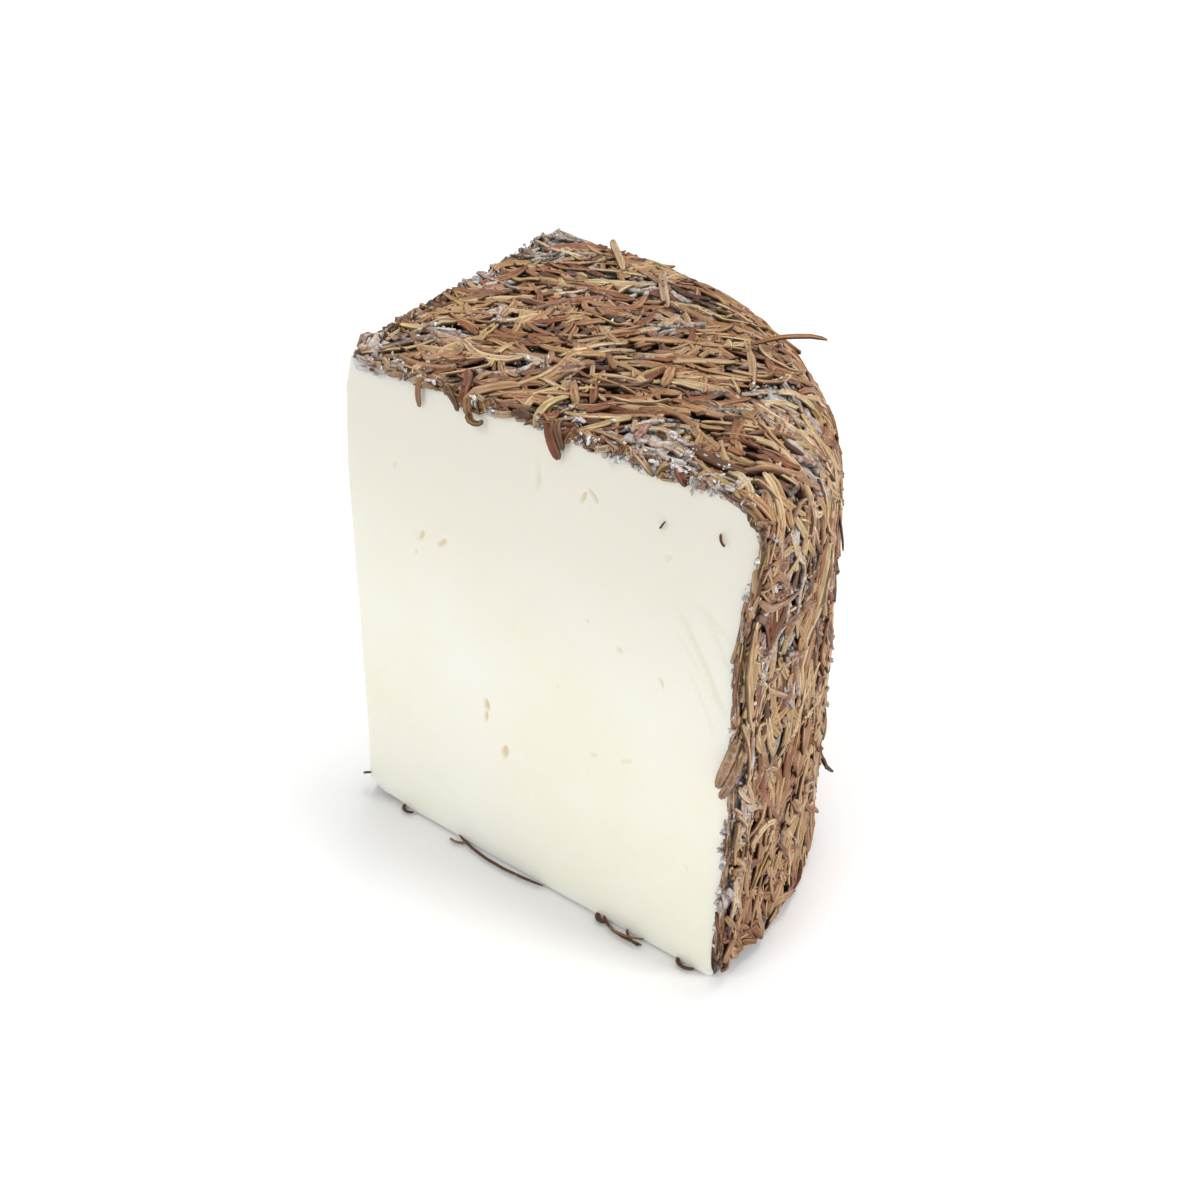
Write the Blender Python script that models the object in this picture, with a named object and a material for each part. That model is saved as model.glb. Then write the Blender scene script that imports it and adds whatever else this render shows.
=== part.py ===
"""A hand-cut quarter of a goat cheese wheel whose rind is pressed full of dried rosemary.

The wheel's axis is the wedge's tip edge. The first cut lies in the XZ plane and faces -Y, the second
is turned CUT_ANGLE from it, and the wedge stands on its flat base at height 0. The origin is the
middle of the wedge's outline on that base, so WHEEL_AXIS says where the tip edge stands.
"""

import math
import random

import bmesh
import bpy
import numpy as np
from mathutils import Matrix, Vector, noise
from mathutils.bvhtree import BVHTree

MM = 0.001

# The wheel and its cuts
WHEEL_RADIUS = 92.5 * MM  # of the rind, under the leaves that stand proud of it
WHEEL_HEIGHT = 98.8 * MM  # of the rind, likewise
CUT_ANGLE = math.radians(101.5)
WHEEL_AXIS = (-39.2 * MM, -45.7 * MM)
SHOULDER_RADIUS = 21.0 * MM  # where the top rolls over into the side
FOOT_RADIUS = 8.5 * MM
SIDE_BULGE = 0.6 * MM

# The first cut's outer corner is sharper and stands further out than the rest of the wheel
CORNER_RADIUS = 8.0 * MM
CORNER_REACH = 3.4 * MM
CORNER_RISE = 1.3 * MM
CORNER_FOOT_DRAW = 1.0 * MM
CORNER_FOOT_RADIUS = 2.6 * MM
CORNER_DEPTH = 0.3  # how far down the side the reach fades out, as a share of its height
CORNER_BLEND = math.radians(30)

# The tip edge, from the knife: it stands back from the axis by these amounts at these heights
TIP_LIFT = 2.0 * MM
TIP_DROP = 1.4 * MM
TIP_RING = 5.0 * MM
TIP_HEIGHTS = tuple(h * MM for h in (2, 15, 45, 75, 92, 100))
TIP_BACK = tuple(b * MM for b in (0.4, 0.6, 0.0, -0.8, 0.0, 1.4))

# The unevenness of a rind made by hand: how high, and how far apart the swells are
RELIEF = ((0.7 * MM, 30 * MM), (0.35 * MM, 11 * MM))

# How finely the body is divided
SECTIONS = 14
TOP_RINGS = 4
SHOULDER_STEPS = 5
SIDE_STEPS = 5
FOOT_STEPS = 3
TIP_STEPS = 7

# Rosemary leaves
LEAF_COUNT = 256
LEAF_LENGTH = (13 * MM, 23 * MM)
LEAF_WIDTH = (1.7 * MM, 2.3 * MM)
LEAF_PROUD = 1.1 * MM  # how far a leaf's back stands over the skin
LEAF_SUNK = 0.55 * MM
LEAF_TIP_LIFT = 0.33 * MM
LEAF_BEND = 0.07  # of its length, sideways, at most
LEAF_RINGS = (-0.42, 0.42)  # where a leaf is full width, from its middle to its points at -1 and 1
TOP_GRAIN = math.radians(40)  # the way most leaves lie on the top
TOP_SCATTER = math.radians(26)
SIDE_SCATTER = math.radians(15)
CROSSING_SHARE = 0.13
CROSSING_TURN = (math.radians(45), math.radians(90))
STEEPNESS_GAIN = 1.5  # how soon over the shoulder the leaves turn to point down
CUT_MARGIN = 0.8 * MM
LEAF_CLEARANCE = 2.6 * MM  # over the base
CANDIDATES = 24  # places weighed for each leaf
SEED = 417
SHARP_ANGLE = math.radians(32)

# Loose leaves at the edges, each as points (x, y, z) from the tip edge's foot, in millimetres
LOOSE_LEAVES = {
    "curled_over_shoulder": ((49, 49.5, 98.6), (55, 55, 99.4), (60, 59.6, 99.7), (64.2, 63.2, 98.9)),
    "pale_over_back": ((16, 62.5, 98.8), (9, 69, 99.3), (3.5, 74, 99.6), (-1.2, 78.3, 99.3)),
    "hooked_over_cut": ((56, 3.2, 99.6), (53.5, 0.3, 100), (50.8, -0.9, 99.6), (47.6, -1.3, 97.4)),
    "dark_over_cut": ((49.8, 2.6, 99.8), (51, -0.4, 99.6), (52.2, -0.9, 97.4), (53.4, -0.4, 94.6)),
    "short_over_cut": ((18.2, 1.8, 98.2), (18.7, -0.4, 97.8), (19.0, -0.7, 96.4), (19.5, -0.2, 94.9)),
    "over_corner": ((83, 1.6, 100.4), (93.5, 1.2, 102), (97.4, 1.5, 97), (96.8, 2.2, 88)),
    "outer_of_pair": ((93.2, 0.8, 56.5), (92.6, -0.6, 53), (91.3, -0.8, 48), (89.9, -0.4, 43.4)),
    "inner_of_pair": ((94.6, 1.6, 52.5), (93.9, -0.2, 49.5), (92.5, -0.8, 45), (91, -0.4, 41)),
    "across_rim": ((93.6, -0.4, 42.4), (95.4, 1.8, 41.6), (95.6, 5, 40.6), (94.2, 8.6, 39.9)),
    "standing_off_side": ((81.6, 42.2, 77), (81.9, 44.4, 73.4), (81.5, 46.8, 69.6), (81.2, 48.6, 66)),
    "low_on_side": ((78.6, 46.4, 27.6), (79.4, 47.2, 24), (79.5, 47.9, 20), (78.8, 48.2, 16.4)),
    "long_under_cut": ((25.6, 1.4, 1.6), (32.5, -1.5, 1.1), (40, -1.7, 1.0), (47.4, -0.8, 1.2)),
    "first_under_foot": ((62.6, 1.2, 1.8), (66, -1.7, 1.1), (70.5, -2.2, 1.0), (75, -0.9, 1.3)),
    "second_under_foot": ((80, 1.0, 1.9), (82.4, -1.3, 1.2), (85.4, -1.6, 1.1), (88.4, 0.6, 1.8)),
}
LOOSE_WIDTH = 1.7 * MM
LOOSE_THICKNESS = 0.9 * MM

# Eyes in the paste as (along the cut, height, half width, half height, lean), in millimetres and degrees
FIRST_CUT_EYES = (
    (18.6, 67.3, 0.9, 1.5, 15),
    (23.8, 67.5, 0.9, 1.7, 35),
    (58.8, 88.8, 0.8, 1.6, -30),
    (34.5, 35.1, 0.9, 2.1, 4),
    (39.0, 27.2, 1.3, 1.9, 10),
)
SECOND_CUT_EYES = (
    (27.0, 74.0, 1.0, 1.6, -20),
    (52.5, 58.0, 0.9, 1.4, 10),
    (44.0, 31.0, 1.3, 1.8, 25),
    (71.0, 80.0, 0.8, 1.5, -35),
)
EYE_DEPTH = 1.0 * MM


def clear_scene():
    for old in list(bpy.data.objects):
        bpy.data.objects.remove(old, do_unlink=True)


def principled(name, colour, roughness):
    """A plain opaque finish, as a material with one Principled BSDF."""
    material = bpy.data.materials.new(name)
    material.use_nodes = True
    shader = material.node_tree.nodes["Principled BSDF"]
    shader.inputs["Base Color"].default_value = (*colour, 1.0)
    shader.inputs["Roughness"].default_value = roughness
    shader.inputs["Metallic"].default_value = 0.0
    return material


def ease(share):
    """0 to 1 with level ends, held outside that range."""
    share = min(max(share, 0.0), 1.0)
    return share * share * (3 - 2 * share)


def mix(first, second, share):
    return first + (second - first) * share


def tip_back(height):
    return float(np.interp(height, TIP_HEIGHTS, TIP_BACK))


def section(turn):
    """(radius, height, lean of the normal above level) down one upright section, or None for a bare base.

    It runs from beside the tip over the top, the shoulder, the side and the foot to the base.
    """
    near_cut = 1 - ease(turn / CORNER_BLEND)
    shoulder = mix(SHOULDER_RADIUS, CORNER_RADIUS, near_cut)
    upper = WHEEL_RADIUS + CORNER_REACH * near_cut
    lower = WHEEL_RADIUS - CORNER_FOOT_DRAW * near_cut
    top = WHEEL_HEIGHT + CORNER_RISE * near_cut
    foot = mix(FOOT_RADIUS, CORNER_FOOT_RADIUS, near_cut)
    points = []
    for step in range(TOP_RINGS):
        radius = mix(TIP_RING, upper - shoulder, step / TOP_RINGS)
        rise = CORNER_RISE * near_cut * (1 - ease(radius / (upper - shoulder)))
        points.append((radius, top - rise, math.pi / 2))
    for step in range(SHOULDER_STEPS + 1):
        lean = math.pi / 2 * (1 - step / SHOULDER_STEPS)
        radius = upper - shoulder + shoulder * math.cos(lean)
        points.append((radius, top - shoulder + shoulder * math.sin(lean), lean))
    for step in range(1, SIDE_STEPS):
        share = step / SIDE_STEPS
        radius = mix(WHEEL_RADIUS, lower, share) + SIDE_BULGE * math.sin(math.pi * share)
        radius += (upper - WHEEL_RADIUS) * (1 - ease(share / CORNER_DEPTH))
        points.append((radius, mix(top - shoulder, foot, share), 0.0))
    for step in range(FOOT_STEPS + 1):
        lean = math.pi / 2 * step / FOOT_STEPS
        radius = lower - foot + foot * math.cos(lean)
        points.append((radius, foot - foot * math.sin(lean), None))
    points.append((TIP_RING, 0.0, None))
    return points


def relief(place):
    """How far the rind swells at a place, in metres."""
    return sum(high * noise.noise(place / apart) for high, apart in RELIEF)


def skin_point(turn, radius, height, lean):
    """A point of the skin from the tip edge's foot, with the rind's swells on its top and side."""
    out = Vector((math.cos(turn), math.sin(turn), 0))
    place = out * radius + Vector((0, 0, height))
    if lean is not None:
        place += relief(place) * (out * math.cos(lean) + Vector((0, 0, math.sin(lean))))
    return place


def body_mesh():
    """The closed wedge without its leaves: face material 0 is cut paste and base, 1 is rind."""
    bm = bmesh.new()
    rings = []
    for step in range(SECTIONS + 1):
        turn = CUT_ANGLE * step / SECTIONS
        rings.append([bm.verts.new(skin_point(turn, *point)) for point in section(turn)])
    crown = WHEEL_HEIGHT - TIP_DROP
    edge = []
    for step in range(TIP_STEPS + 1):
        height = mix(crown, TIP_LIFT, step / TIP_STEPS)
        edge.append(bm.verts.new((tip_back(height), 0, height)))
    rind_rows = TOP_RINGS + SHOULDER_STEPS + SIDE_STEPS
    for ring, following in zip(rings, rings[1:]):
        bm.faces.new((edge[0], ring[0], following[0])).material_index = 1
        bm.faces.new((edge[-1], following[-1], ring[-1]))
        for row in range(len(ring) - 1):
            face = bm.faces.new((ring[row], ring[row + 1], following[row + 1], following[row]))
            face.material_index = int(row < rind_rows)
    bm.faces.new([*edge, *reversed(rings[0])])
    bm.faces.new([*rings[-1], *reversed(edge)])
    bmesh.ops.recalc_face_normals(bm, faces=bm.faces)
    bmesh.ops.triangulate(bm, faces=[face for face in bm.faces if len(face.verts) > 4])
    return bm


def finished_object(name, bm, materials, collection):
    mesh = bpy.data.meshes.new(name)
    bm.to_mesh(mesh)
    bm.free()
    for material in materials:
        mesh.materials.append(material)
    made = bpy.data.objects.new(name, mesh)
    collection.objects.link(made)
    return made


def make_eye(name, cut_turn, along, height, half_width, half_height, lean, collection):
    """A shallow ball-like cutter that sits in a cut face."""
    bm = bmesh.new()
    bmesh.ops.create_icosphere(bm, subdivisions=2, radius=1.0)
    size = Matrix.Diagonal((half_width * MM, EYE_DEPTH, half_height * MM, 1))
    tilt = Matrix.Rotation(math.radians(lean), 4, "Y")
    to_cut = Matrix.Rotation(cut_turn, 4, "Z")
    place = Matrix.Translation((along * MM, 0, height * MM))
    bmesh.ops.transform(bm, matrix=to_cut @ place @ tilt @ size, verts=bm.verts)
    return finished_object(name, bm, [], collection)


def leaf_mesh(spine, ups, width, proud, sunk):
    """A pointed leaf along a spine: ridged rings between two points."""
    bm = bmesh.new()
    rings = []
    for index in range(1, len(spine) - 1):
        ahead = (spine[index + 1] - spine[index - 1]).normalized()
        side = ahead.cross(ups[index]).normalized() * width / 2
        low = spine[index] - ups[index] * sunk
        high = spine[index] + ups[index] * proud
        rings.append([bm.verts.new(p) for p in (low - side, low + side, high)])
    for ring, following in zip(rings, rings[1:]):
        for row in range(3):
            after = (row + 1) % 3
            bm.faces.new((ring[row], ring[after], following[after], following[row]))
    for ring, place in ((rings[0], spine[0]), (rings[-1], spine[-1])):
        point = bm.verts.new(place)
        for row in range(3):
            bm.faces.new((ring[row], ring[(row + 1) % 3], point))
    bmesh.ops.recalc_face_normals(bm, faces=bm.faces)
    return bm


def leaf_heading(place, normal, draw):
    """Which way a leaf lies on the skin: with the top's grain, turning to point down the side."""
    around = Vector((place.x, place.y, 0)).normalized()
    down = around * normal.z - Vector((0, 0, 1)) * normal.dot(around)
    grain = Vector((math.cos(TOP_GRAIN), math.sin(TOP_GRAIN), 0))
    steep = ease(STEEPNESS_GAIN * (1 - normal.z))
    heading = grain.lerp(down, steep)
    heading -= normal * heading.dot(normal)
    swing = draw.gauss(0, mix(TOP_SCATTER, SIDE_SCATTER, steep))
    if draw.random() < CROSSING_SHARE:
        swing += draw.choice((-1, 1)) * draw.uniform(*CROSSING_TURN)
    return Matrix.Rotation(swing, 3, normal) @ heading.normalized()


def inside_cuts(place):
    """Whether a place is clear of both cut faces."""
    across = place.y * math.cos(CUT_ANGLE) - place.x * math.sin(CUT_ANGLE)
    return place.y > CUT_MARGIN and across < -CUT_MARGIN


def rind_places(bm, draw):
    """Random places on the rind, spread evenly over its area, without end."""
    faces = [face for face in bm.faces if face.material_index == 1]
    areas = [face.calc_area() for face in faces]
    while True:
        corners = [v.co for v in draw.choices(faces, areas)[0].verts]
        first, second = draw.random(), draw.random()
        if len(corners) == 3:
            first *= 1 - second
            yield corners[0] + (corners[1] - corners[0]) * first + (corners[2] - corners[0]) * second
        else:
            yield corners[0].lerp(corners[1], first).lerp(corners[3].lerp(corners[2], first), second)


def lay_leaf(place, length, skin, draw):
    """Spine and upward directions of a leaf that follows the skin, or None where it would leave the rind."""
    spot, normal, _, _ = skin.find_nearest(place)
    heading = leaf_heading(spot, normal, draw)
    side = heading.cross(normal)
    bend = draw.uniform(-LEAF_BEND, LEAF_BEND) * length
    spine, ups = [], []
    for share in (-1, *LEAF_RINGS, 1):
        wanted = spot + heading * length / 2 * share + side * bend * share * share
        found, up, _, _ = skin.find_nearest(wanted)
        if not inside_cuts(found) or found.z < LEAF_CLEARANCE:
            return None
        tip_lift = LEAF_TIP_LIFT if abs(share) == 1 else 0
        spine.append(found + up * tip_lift)
        ups.append(up)
    return spine, ups


def laid_leaves(bm):
    """Yields the meshes of the leaves on the rind, the longest first, each laid where there is most room."""
    draw = random.Random(SEED)
    places = rind_places(bm, draw)
    skin = BVHTree.FromBMesh(bm)
    taken = []
    for index in range(LEAF_COUNT):
        length = mix(LEAF_LENGTH[1], LEAF_LENGTH[0], index / LEAF_COUNT)
        width = draw.uniform(*LEAF_WIDTH)
        found = None
        while found is None:
            tries = [next(places) for _ in range(CANDIDATES)]
            if taken:
                tries.sort(key=lambda p: -min((p - other).length for other in taken))
            laid = (lay_leaf(place, length, skin, draw) for place in tries[:4])
            found = next((leaf for leaf in laid if leaf), None)
        taken.append(sum(found[0], Vector()) / len(found[0]))
        yield leaf_mesh(*found, width, LEAF_PROUD, LEAF_SUNK)


def loose_leaf_mesh(points):
    """A leaf that leaves the skin: a rounded path through four chosen points, pointed at both ends."""
    knots = [Vector(point) * MM for point in points]
    shares = (0, *((share + 1) / 2 for share in LEAF_RINGS), 1)
    spine = []
    for share in shares:
        level = knots
        while len(level) > 1:
            level = [near.lerp(far, share) for near, far in zip(level, level[1:])]
        spine.append(level[0])
    ahead = (knots[3] - knots[0]).normalized()
    out = Vector((0, -1, 0)) if abs(ahead.z) > 0.5 else Vector((0, 0, 1))
    up = (out - ahead * out.dot(ahead)).normalized()
    return leaf_mesh(spine, [up] * len(spine), LOOSE_WIDTH, LOOSE_THICKNESS / 2, LOOSE_THICKNESS / 2)


def apply_boolean(target, operation, collection):
    """Cuts a collection's objects from the target, or joins them to it, and removes them."""
    modifier = target.modifiers.new(operation.title(), "BOOLEAN")
    modifier.operation = operation
    modifier.solver = "EXACT"
    modifier.operand_type = "COLLECTION"
    modifier.collection = collection
    modifier.material_mode = "TRANSFER"
    bpy.context.view_layer.update()
    evaluated = target.evaluated_get(bpy.context.evaluated_depsgraph_get())
    result = bpy.data.meshes.new_from_object(evaluated)
    target.modifiers.remove(modifier)
    target.data = result
    for used in list(collection.objects):
        bpy.data.objects.remove(used, do_unlink=True)
    bpy.data.collections.remove(collection)


def new_collection(name):
    made = bpy.data.collections.new(name)
    bpy.context.scene.collection.children.link(made)
    return made


def keep_outer_shell(target):
    """Fills sealed hollows and drops loose scraps, by keeping only the largest shell."""
    bm = bmesh.new()
    bm.from_mesh(target.data)
    left = set(bm.verts)
    shells = []
    while left:
        front = [left.pop()]
        shell = list(front)
        while front:
            vert = front.pop()
            fresh = {edge.other_vert(vert) for edge in vert.link_edges} & left
            left -= fresh
            front.extend(fresh)
            shell.extend(fresh)
        shells.append(shell)
    shells.sort(key=len)
    for shell in shells[:-1]:
        bmesh.ops.delete(bm, geom=shell, context="VERTS")
    bm.to_mesh(target.data)
    bm.free()


def make_cheese():
    """The wedge with its eyes cut and its rosemary fused on, moved to stand round the origin."""
    paste = principled("goat_cheese_paste", (0.87, 0.84, 0.72), 0.55)
    rind = principled("mould_ripened_rind", (0.36, 0.30, 0.23), 0.9)
    rosemary = principled("dried_rosemary", (0.30, 0.19, 0.10), 0.7)
    bm = body_mesh()
    leaves = list(laid_leaves(bm)) + [loose_leaf_mesh(points) for points in LOOSE_LEAVES.values()]
    cheese = finished_object("cheese", bm, (paste, rind), bpy.context.scene.collection)

    cutters = new_collection("eyes")
    for index, eye in enumerate(FIRST_CUT_EYES + SECOND_CUT_EYES):
        cut_turn = 0.0 if index < len(FIRST_CUT_EYES) else CUT_ANGLE
        make_eye(f"eye_{index}", cut_turn, *eye, cutters)
    apply_boolean(cheese, "DIFFERENCE", cutters)

    coat = new_collection("rosemary")
    for index, leaf in enumerate(leaves):
        finished_object(f"leaf_{index}", leaf, (rosemary,), coat)
    apply_boolean(cheese, "UNION", coat)

    keep_outer_shell(cheese)
    cheese.data.transform(Matrix.Translation((*WHEEL_AXIS, 0)))
    cheese.data.shade_smooth()
    cheese.data.set_sharp_from_angle(angle=SHARP_ANGLE)
    return cheese


clear_scene()
make_cheese()
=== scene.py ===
# %% [markdown]
# # A quarter of rosemary goat cheese
#
# The real thing is a hand-cut wedge of a tall, round goat cheese. Its paste is smooth and ivory, and its
# outside was rolled in dried rosemary before it ripened, so a coat of thousands of small leaves holds
# together with a grey-white bloom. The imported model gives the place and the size. Everything is worked out
# in millimetres from the wheel's axis, which is the wedge's tip edge, and moved to its place at the end.

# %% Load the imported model
import math
import random

import bmesh
import bpy
import numpy as np
from mathutils import Matrix, Vector, noise
from mathutils.bvhtree import BVHTree


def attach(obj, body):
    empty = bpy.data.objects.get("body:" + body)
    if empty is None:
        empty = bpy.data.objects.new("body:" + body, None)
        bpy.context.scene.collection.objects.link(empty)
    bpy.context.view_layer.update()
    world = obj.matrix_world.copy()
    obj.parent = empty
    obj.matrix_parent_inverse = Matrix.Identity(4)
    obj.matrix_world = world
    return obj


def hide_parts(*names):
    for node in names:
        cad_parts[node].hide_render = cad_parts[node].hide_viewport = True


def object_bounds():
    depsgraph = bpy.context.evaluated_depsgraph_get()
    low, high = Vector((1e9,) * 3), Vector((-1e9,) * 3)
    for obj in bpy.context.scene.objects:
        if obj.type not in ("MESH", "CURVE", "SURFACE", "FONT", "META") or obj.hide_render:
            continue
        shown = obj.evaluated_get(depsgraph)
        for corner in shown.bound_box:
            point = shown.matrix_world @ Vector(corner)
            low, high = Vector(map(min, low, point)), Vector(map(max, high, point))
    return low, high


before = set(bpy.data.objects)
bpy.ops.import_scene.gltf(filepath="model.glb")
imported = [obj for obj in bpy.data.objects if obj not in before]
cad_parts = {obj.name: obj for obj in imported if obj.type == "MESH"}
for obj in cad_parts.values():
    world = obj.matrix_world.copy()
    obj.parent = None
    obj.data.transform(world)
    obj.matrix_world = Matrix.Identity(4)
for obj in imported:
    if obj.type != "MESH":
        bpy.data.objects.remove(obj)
cad_box = [[float(value) for value in corner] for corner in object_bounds()]
print("CAD box in mm:", np.round(np.array(cad_box) * 1000, 2).tolist())

MM = 0.001
WHEEL_AXIS = np.array((-39.2, -45.7, 0.0))  # where the tip edge stands
BOX_LOW = np.array(cad_box[0]) / MM - WHEEL_AXIS
BOX_HIGH = np.array(cad_box[1]) / MM - WHEEL_AXIS

# %% [markdown]
# ## The form of the wheel
#
# An upright cut through a wheel is one profile: flat top, rolled shoulder, nearly straight side, small foot
# and flat base. It could be drawn as a curve and spun, but this wheel changes as it goes round: its rim is
# sharper and stands out further beside the first cut. So a function gives the profile at any turn from the
# first cut, and each layer of the cheese asks for it with its own depth under the skin.

# %% The profile at any turn
CUT_ANGLE = math.radians(101.5)
WHEEL_RADIUS = 92.5
WHEEL_HEIGHT = 98.8
SHOULDER = 21.0  # radius of the rolled edge on top
FOOT = 8.5
SIDE_BULGE = 0.6
CORNER_SHOULDER = 8.0  # the corner is the part beside the first cut
CORNER_FOOT = 2.6
CORNER_REACH = 3.4  # how far its rim stands out
CORNER_RISE = 1.3
CORNER_DRAW = 1.0  # how far its foot draws in
CORNER_DEPTH = 0.3  # share of the side that stands out with the rim
CORNER_BLEND = math.radians(30)
TOP_POINTS, SHOULDER_POINTS, SIDE_POINTS, FOOT_POINTS, BASE_POINTS = 40, 24, 42, 14, 41


def ease(share):
    """0 to 1 with level ends, held outside that range."""
    share = np.clip(share, 0.0, 1.0)
    return share * share * (3 - 2 * share)


def mix(first, second, share):
    """From first at share 0 to second at share 1."""
    return first + (second - first) * share


def profile(turn, start):
    """Points (radius, height) and outward normals down one upright section.

    It starts at a radius on top and ends under the same radius on the base. Near the first cut the
    shoulder and the foot are tighter, and the rim stands out further and a little higher.
    """
    near = 1 - ease(max(turn, 0.0) / CORNER_BLEND)
    shoulder = mix(SHOULDER, CORNER_SHOULDER, near)
    foot = mix(FOOT, CORNER_FOOT, near)
    upper = WHEEL_RADIUS + CORNER_REACH * near
    lower = WHEEL_RADIUS - CORNER_DRAW * near
    top = WHEEL_HEIGHT + CORNER_RISE * near
    flat_end, side_start = upper - shoulder, top - shoulder
    across = np.linspace(start, flat_end, TOP_POINTS, endpoint=False)
    rise = CORNER_RISE * near * (1 - ease(across / flat_end))
    parts = [np.stack([across, top - rise], 1)]
    lean = np.linspace(math.pi / 2, 0, SHOULDER_POINTS)
    parts.append(np.stack([flat_end + shoulder * np.cos(lean), side_start + shoulder * np.sin(lean)], 1))
    share = np.linspace(0, 1, SIDE_POINTS)[1:-1]
    side = mix(WHEEL_RADIUS, lower, share) + SIDE_BULGE * np.sin(math.pi * share)
    side += (upper - WHEEL_RADIUS) * (1 - ease(share / CORNER_DEPTH))
    parts.append(np.stack([side, mix(side_start, foot, share)], 1))
    lean = np.linspace(0, math.pi / 2, FOOT_POINTS)
    parts.append(np.stack([lower - foot + foot * np.cos(lean), foot - foot * np.sin(lean)], 1))
    base = np.linspace(lower - foot, start, BASE_POINTS)[1:]
    parts.append(np.stack([base, np.zeros(len(base))], 1))
    points = np.concatenate(parts)
    slope = np.gradient(points, axis=0)
    normals = np.stack([-slope[:, 1], slope[:, 0]], 1)
    return points, normals / np.linalg.norm(normals, axis=1)[:, None]


print("profile widest", round(float(profile(CUT_ANGLE / 2, 2.0)[0][:, 0].max()), 1), "mm")

# %% [markdown]
# ## Uneven as food is
#
# Nothing on a cheese is flat. Smooth noise, sampled in millimetres, gives swells that any layer can add to
# itself. The same function with other sizes makes the swells of the rind, the waves that a knife leaves in
# the paste, and the lumps of the bloom. It is slow in Python, so only coarse grids use it directly.

# %% Swells
RIND_SWELLS = ((0.7, 0.030, 0.0), (0.35, 0.011, 0.0))  # height in millimetres, size in metres, shift


def swell(places, apart, shift=0.0):
    """Smooth noise from about -1 to 1 at each place; apart is the size of one swell in millimetres."""
    move = Vector((shift, shift * 0.37, -shift))
    return np.array([noise.noise(Vector(place) / apart + move) for place in places])


def swells(places, sizes):
    """The sum of several swells, each given as height, size and shift."""
    return sum(height * swell(places, apart, shift) for height, apart, shift in sizes)


def rind_swell(places):
    """The swells of the rind itself, the same as in the model's solid."""
    return swells(np.asarray(places) * MM, RIND_SWELLS)


def running_length(points):
    """How far along a line of points each of them is."""
    return np.concatenate([[0], np.cumsum(np.linalg.norm(np.diff(points, axis=0), axis=1))])


def resample(points, count):
    """The same line with evenly spread points."""
    run = running_length(points)
    wanted = np.linspace(0, run[-1], count)
    return np.stack([np.interp(wanted, run, points[:, axis]) for axis in range(points.shape[1])], 1)


print("rind swells:", np.round(rind_swell([(40, 40, 99), (92, 10, 50)]), 2).tolist(), "mm at two places")


# %% [markdown]
# ## Meshes from arrays
#
# A coat of thousands of leaves is far too much for one Blender operator each. Arrays of corners and faces go
# into a mesh in one call instead, together with the numbers that its material reads at each point.

# %% Put arrays into a mesh object


def new_piece(name, places, faces, numbers=None, smooth=True):
    """A mesh object from places in millimetres round the wheel's axis; faces is one array of equal faces."""
    places = np.asarray(places, float)
    faces = np.asarray(faces)
    mesh = bpy.data.meshes.new(name)
    mesh.vertices.add(len(places))
    mesh.vertices.foreach_set("co", ((places + WHEEL_AXIS) * MM).astype(np.float32).ravel())
    sides = faces.shape[1]
    mesh.loops.add(faces.size)
    mesh.loops.foreach_set("vertex_index", faces.astype(np.int32).ravel())
    mesh.polygons.add(len(faces))
    mesh.polygons.foreach_set("loop_start", np.arange(0, faces.size, sides, dtype=np.int32))
    mesh.update(calc_edges=True)
    mesh.validate()
    add_numbers(mesh, numbers or {})
    if smooth:
        mesh.shade_smooth()
    made = bpy.data.objects.new(name, mesh)
    bpy.context.scene.collection.objects.link(made)
    return made


def inside_box(places):
    """The same places, with what would stand out of the model's box moved just inside it."""
    return np.clip(places, BOX_LOW + (0.02, 0.02, 0.03), BOX_HIGH - 0.05)


def triangles(piece):
    """How many triangles a piece has."""
    return sum(len(face.vertices) - 2 for face in piece.data.polygons)


def add_numbers(mesh, numbers):
    """Named numbers at each point of a mesh, for its material to read."""
    for label, values in numbers.items():
        layer = mesh.attributes.new(label, "FLOAT", "POINT")
        layer.data.foreach_set("value", np.asarray(values, np.float32))


def dress(piece, material):
    """Gives a piece its finish and lets it ride on the part's one body."""
    piece.data.materials.append(material)
    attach(piece, "root")
    print(piece.name, triangles(piece), "triangles")


# %% [markdown]
# ## Skins at a depth
#
# The paste, the bloomy bed and the leaves follow the same form at different depths. A skin is a grid of
# places: rows go round the wheel from cut to cut, columns run down the profile.

# %% The faces and normals of a grid


def grid_normals(grid):
    """Outward normals of a skin grid."""
    down = np.gradient(grid, axis=1)
    round_wheel = np.gradient(grid, axis=0)
    normals = np.cross(down, round_wheel)
    return normals / np.maximum(np.linalg.norm(normals, axis=2), 1e-9)[..., None]


def grid_faces(rows, columns, first=0):
    """Quads between the points of a grid that is stored row after row."""
    corner = first + np.arange(rows * columns).reshape(rows, columns)
    quads = np.stack([corner[:-1, :-1], corner[:-1, 1:], corner[1:, 1:], corner[1:, :-1]], -1)
    return quads.reshape(-1, 4)


# %% [markdown]
# ## The paste
#
# The paste is one closed body: a skin under the coat, and two flat cuts from the knife. A boolean would leave
# long thin triangles on the cuts, where the light shows every fault. Here each cut is a fine grid that is
# stretched between its four edges (a Coons patch), so it shares its border with the skin and can be shaped
# point by point: knife waves, drag marks and eyes are all real dents. The foot of the tip edge, the softest
# place, is worn round before the cuts are made.

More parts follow.
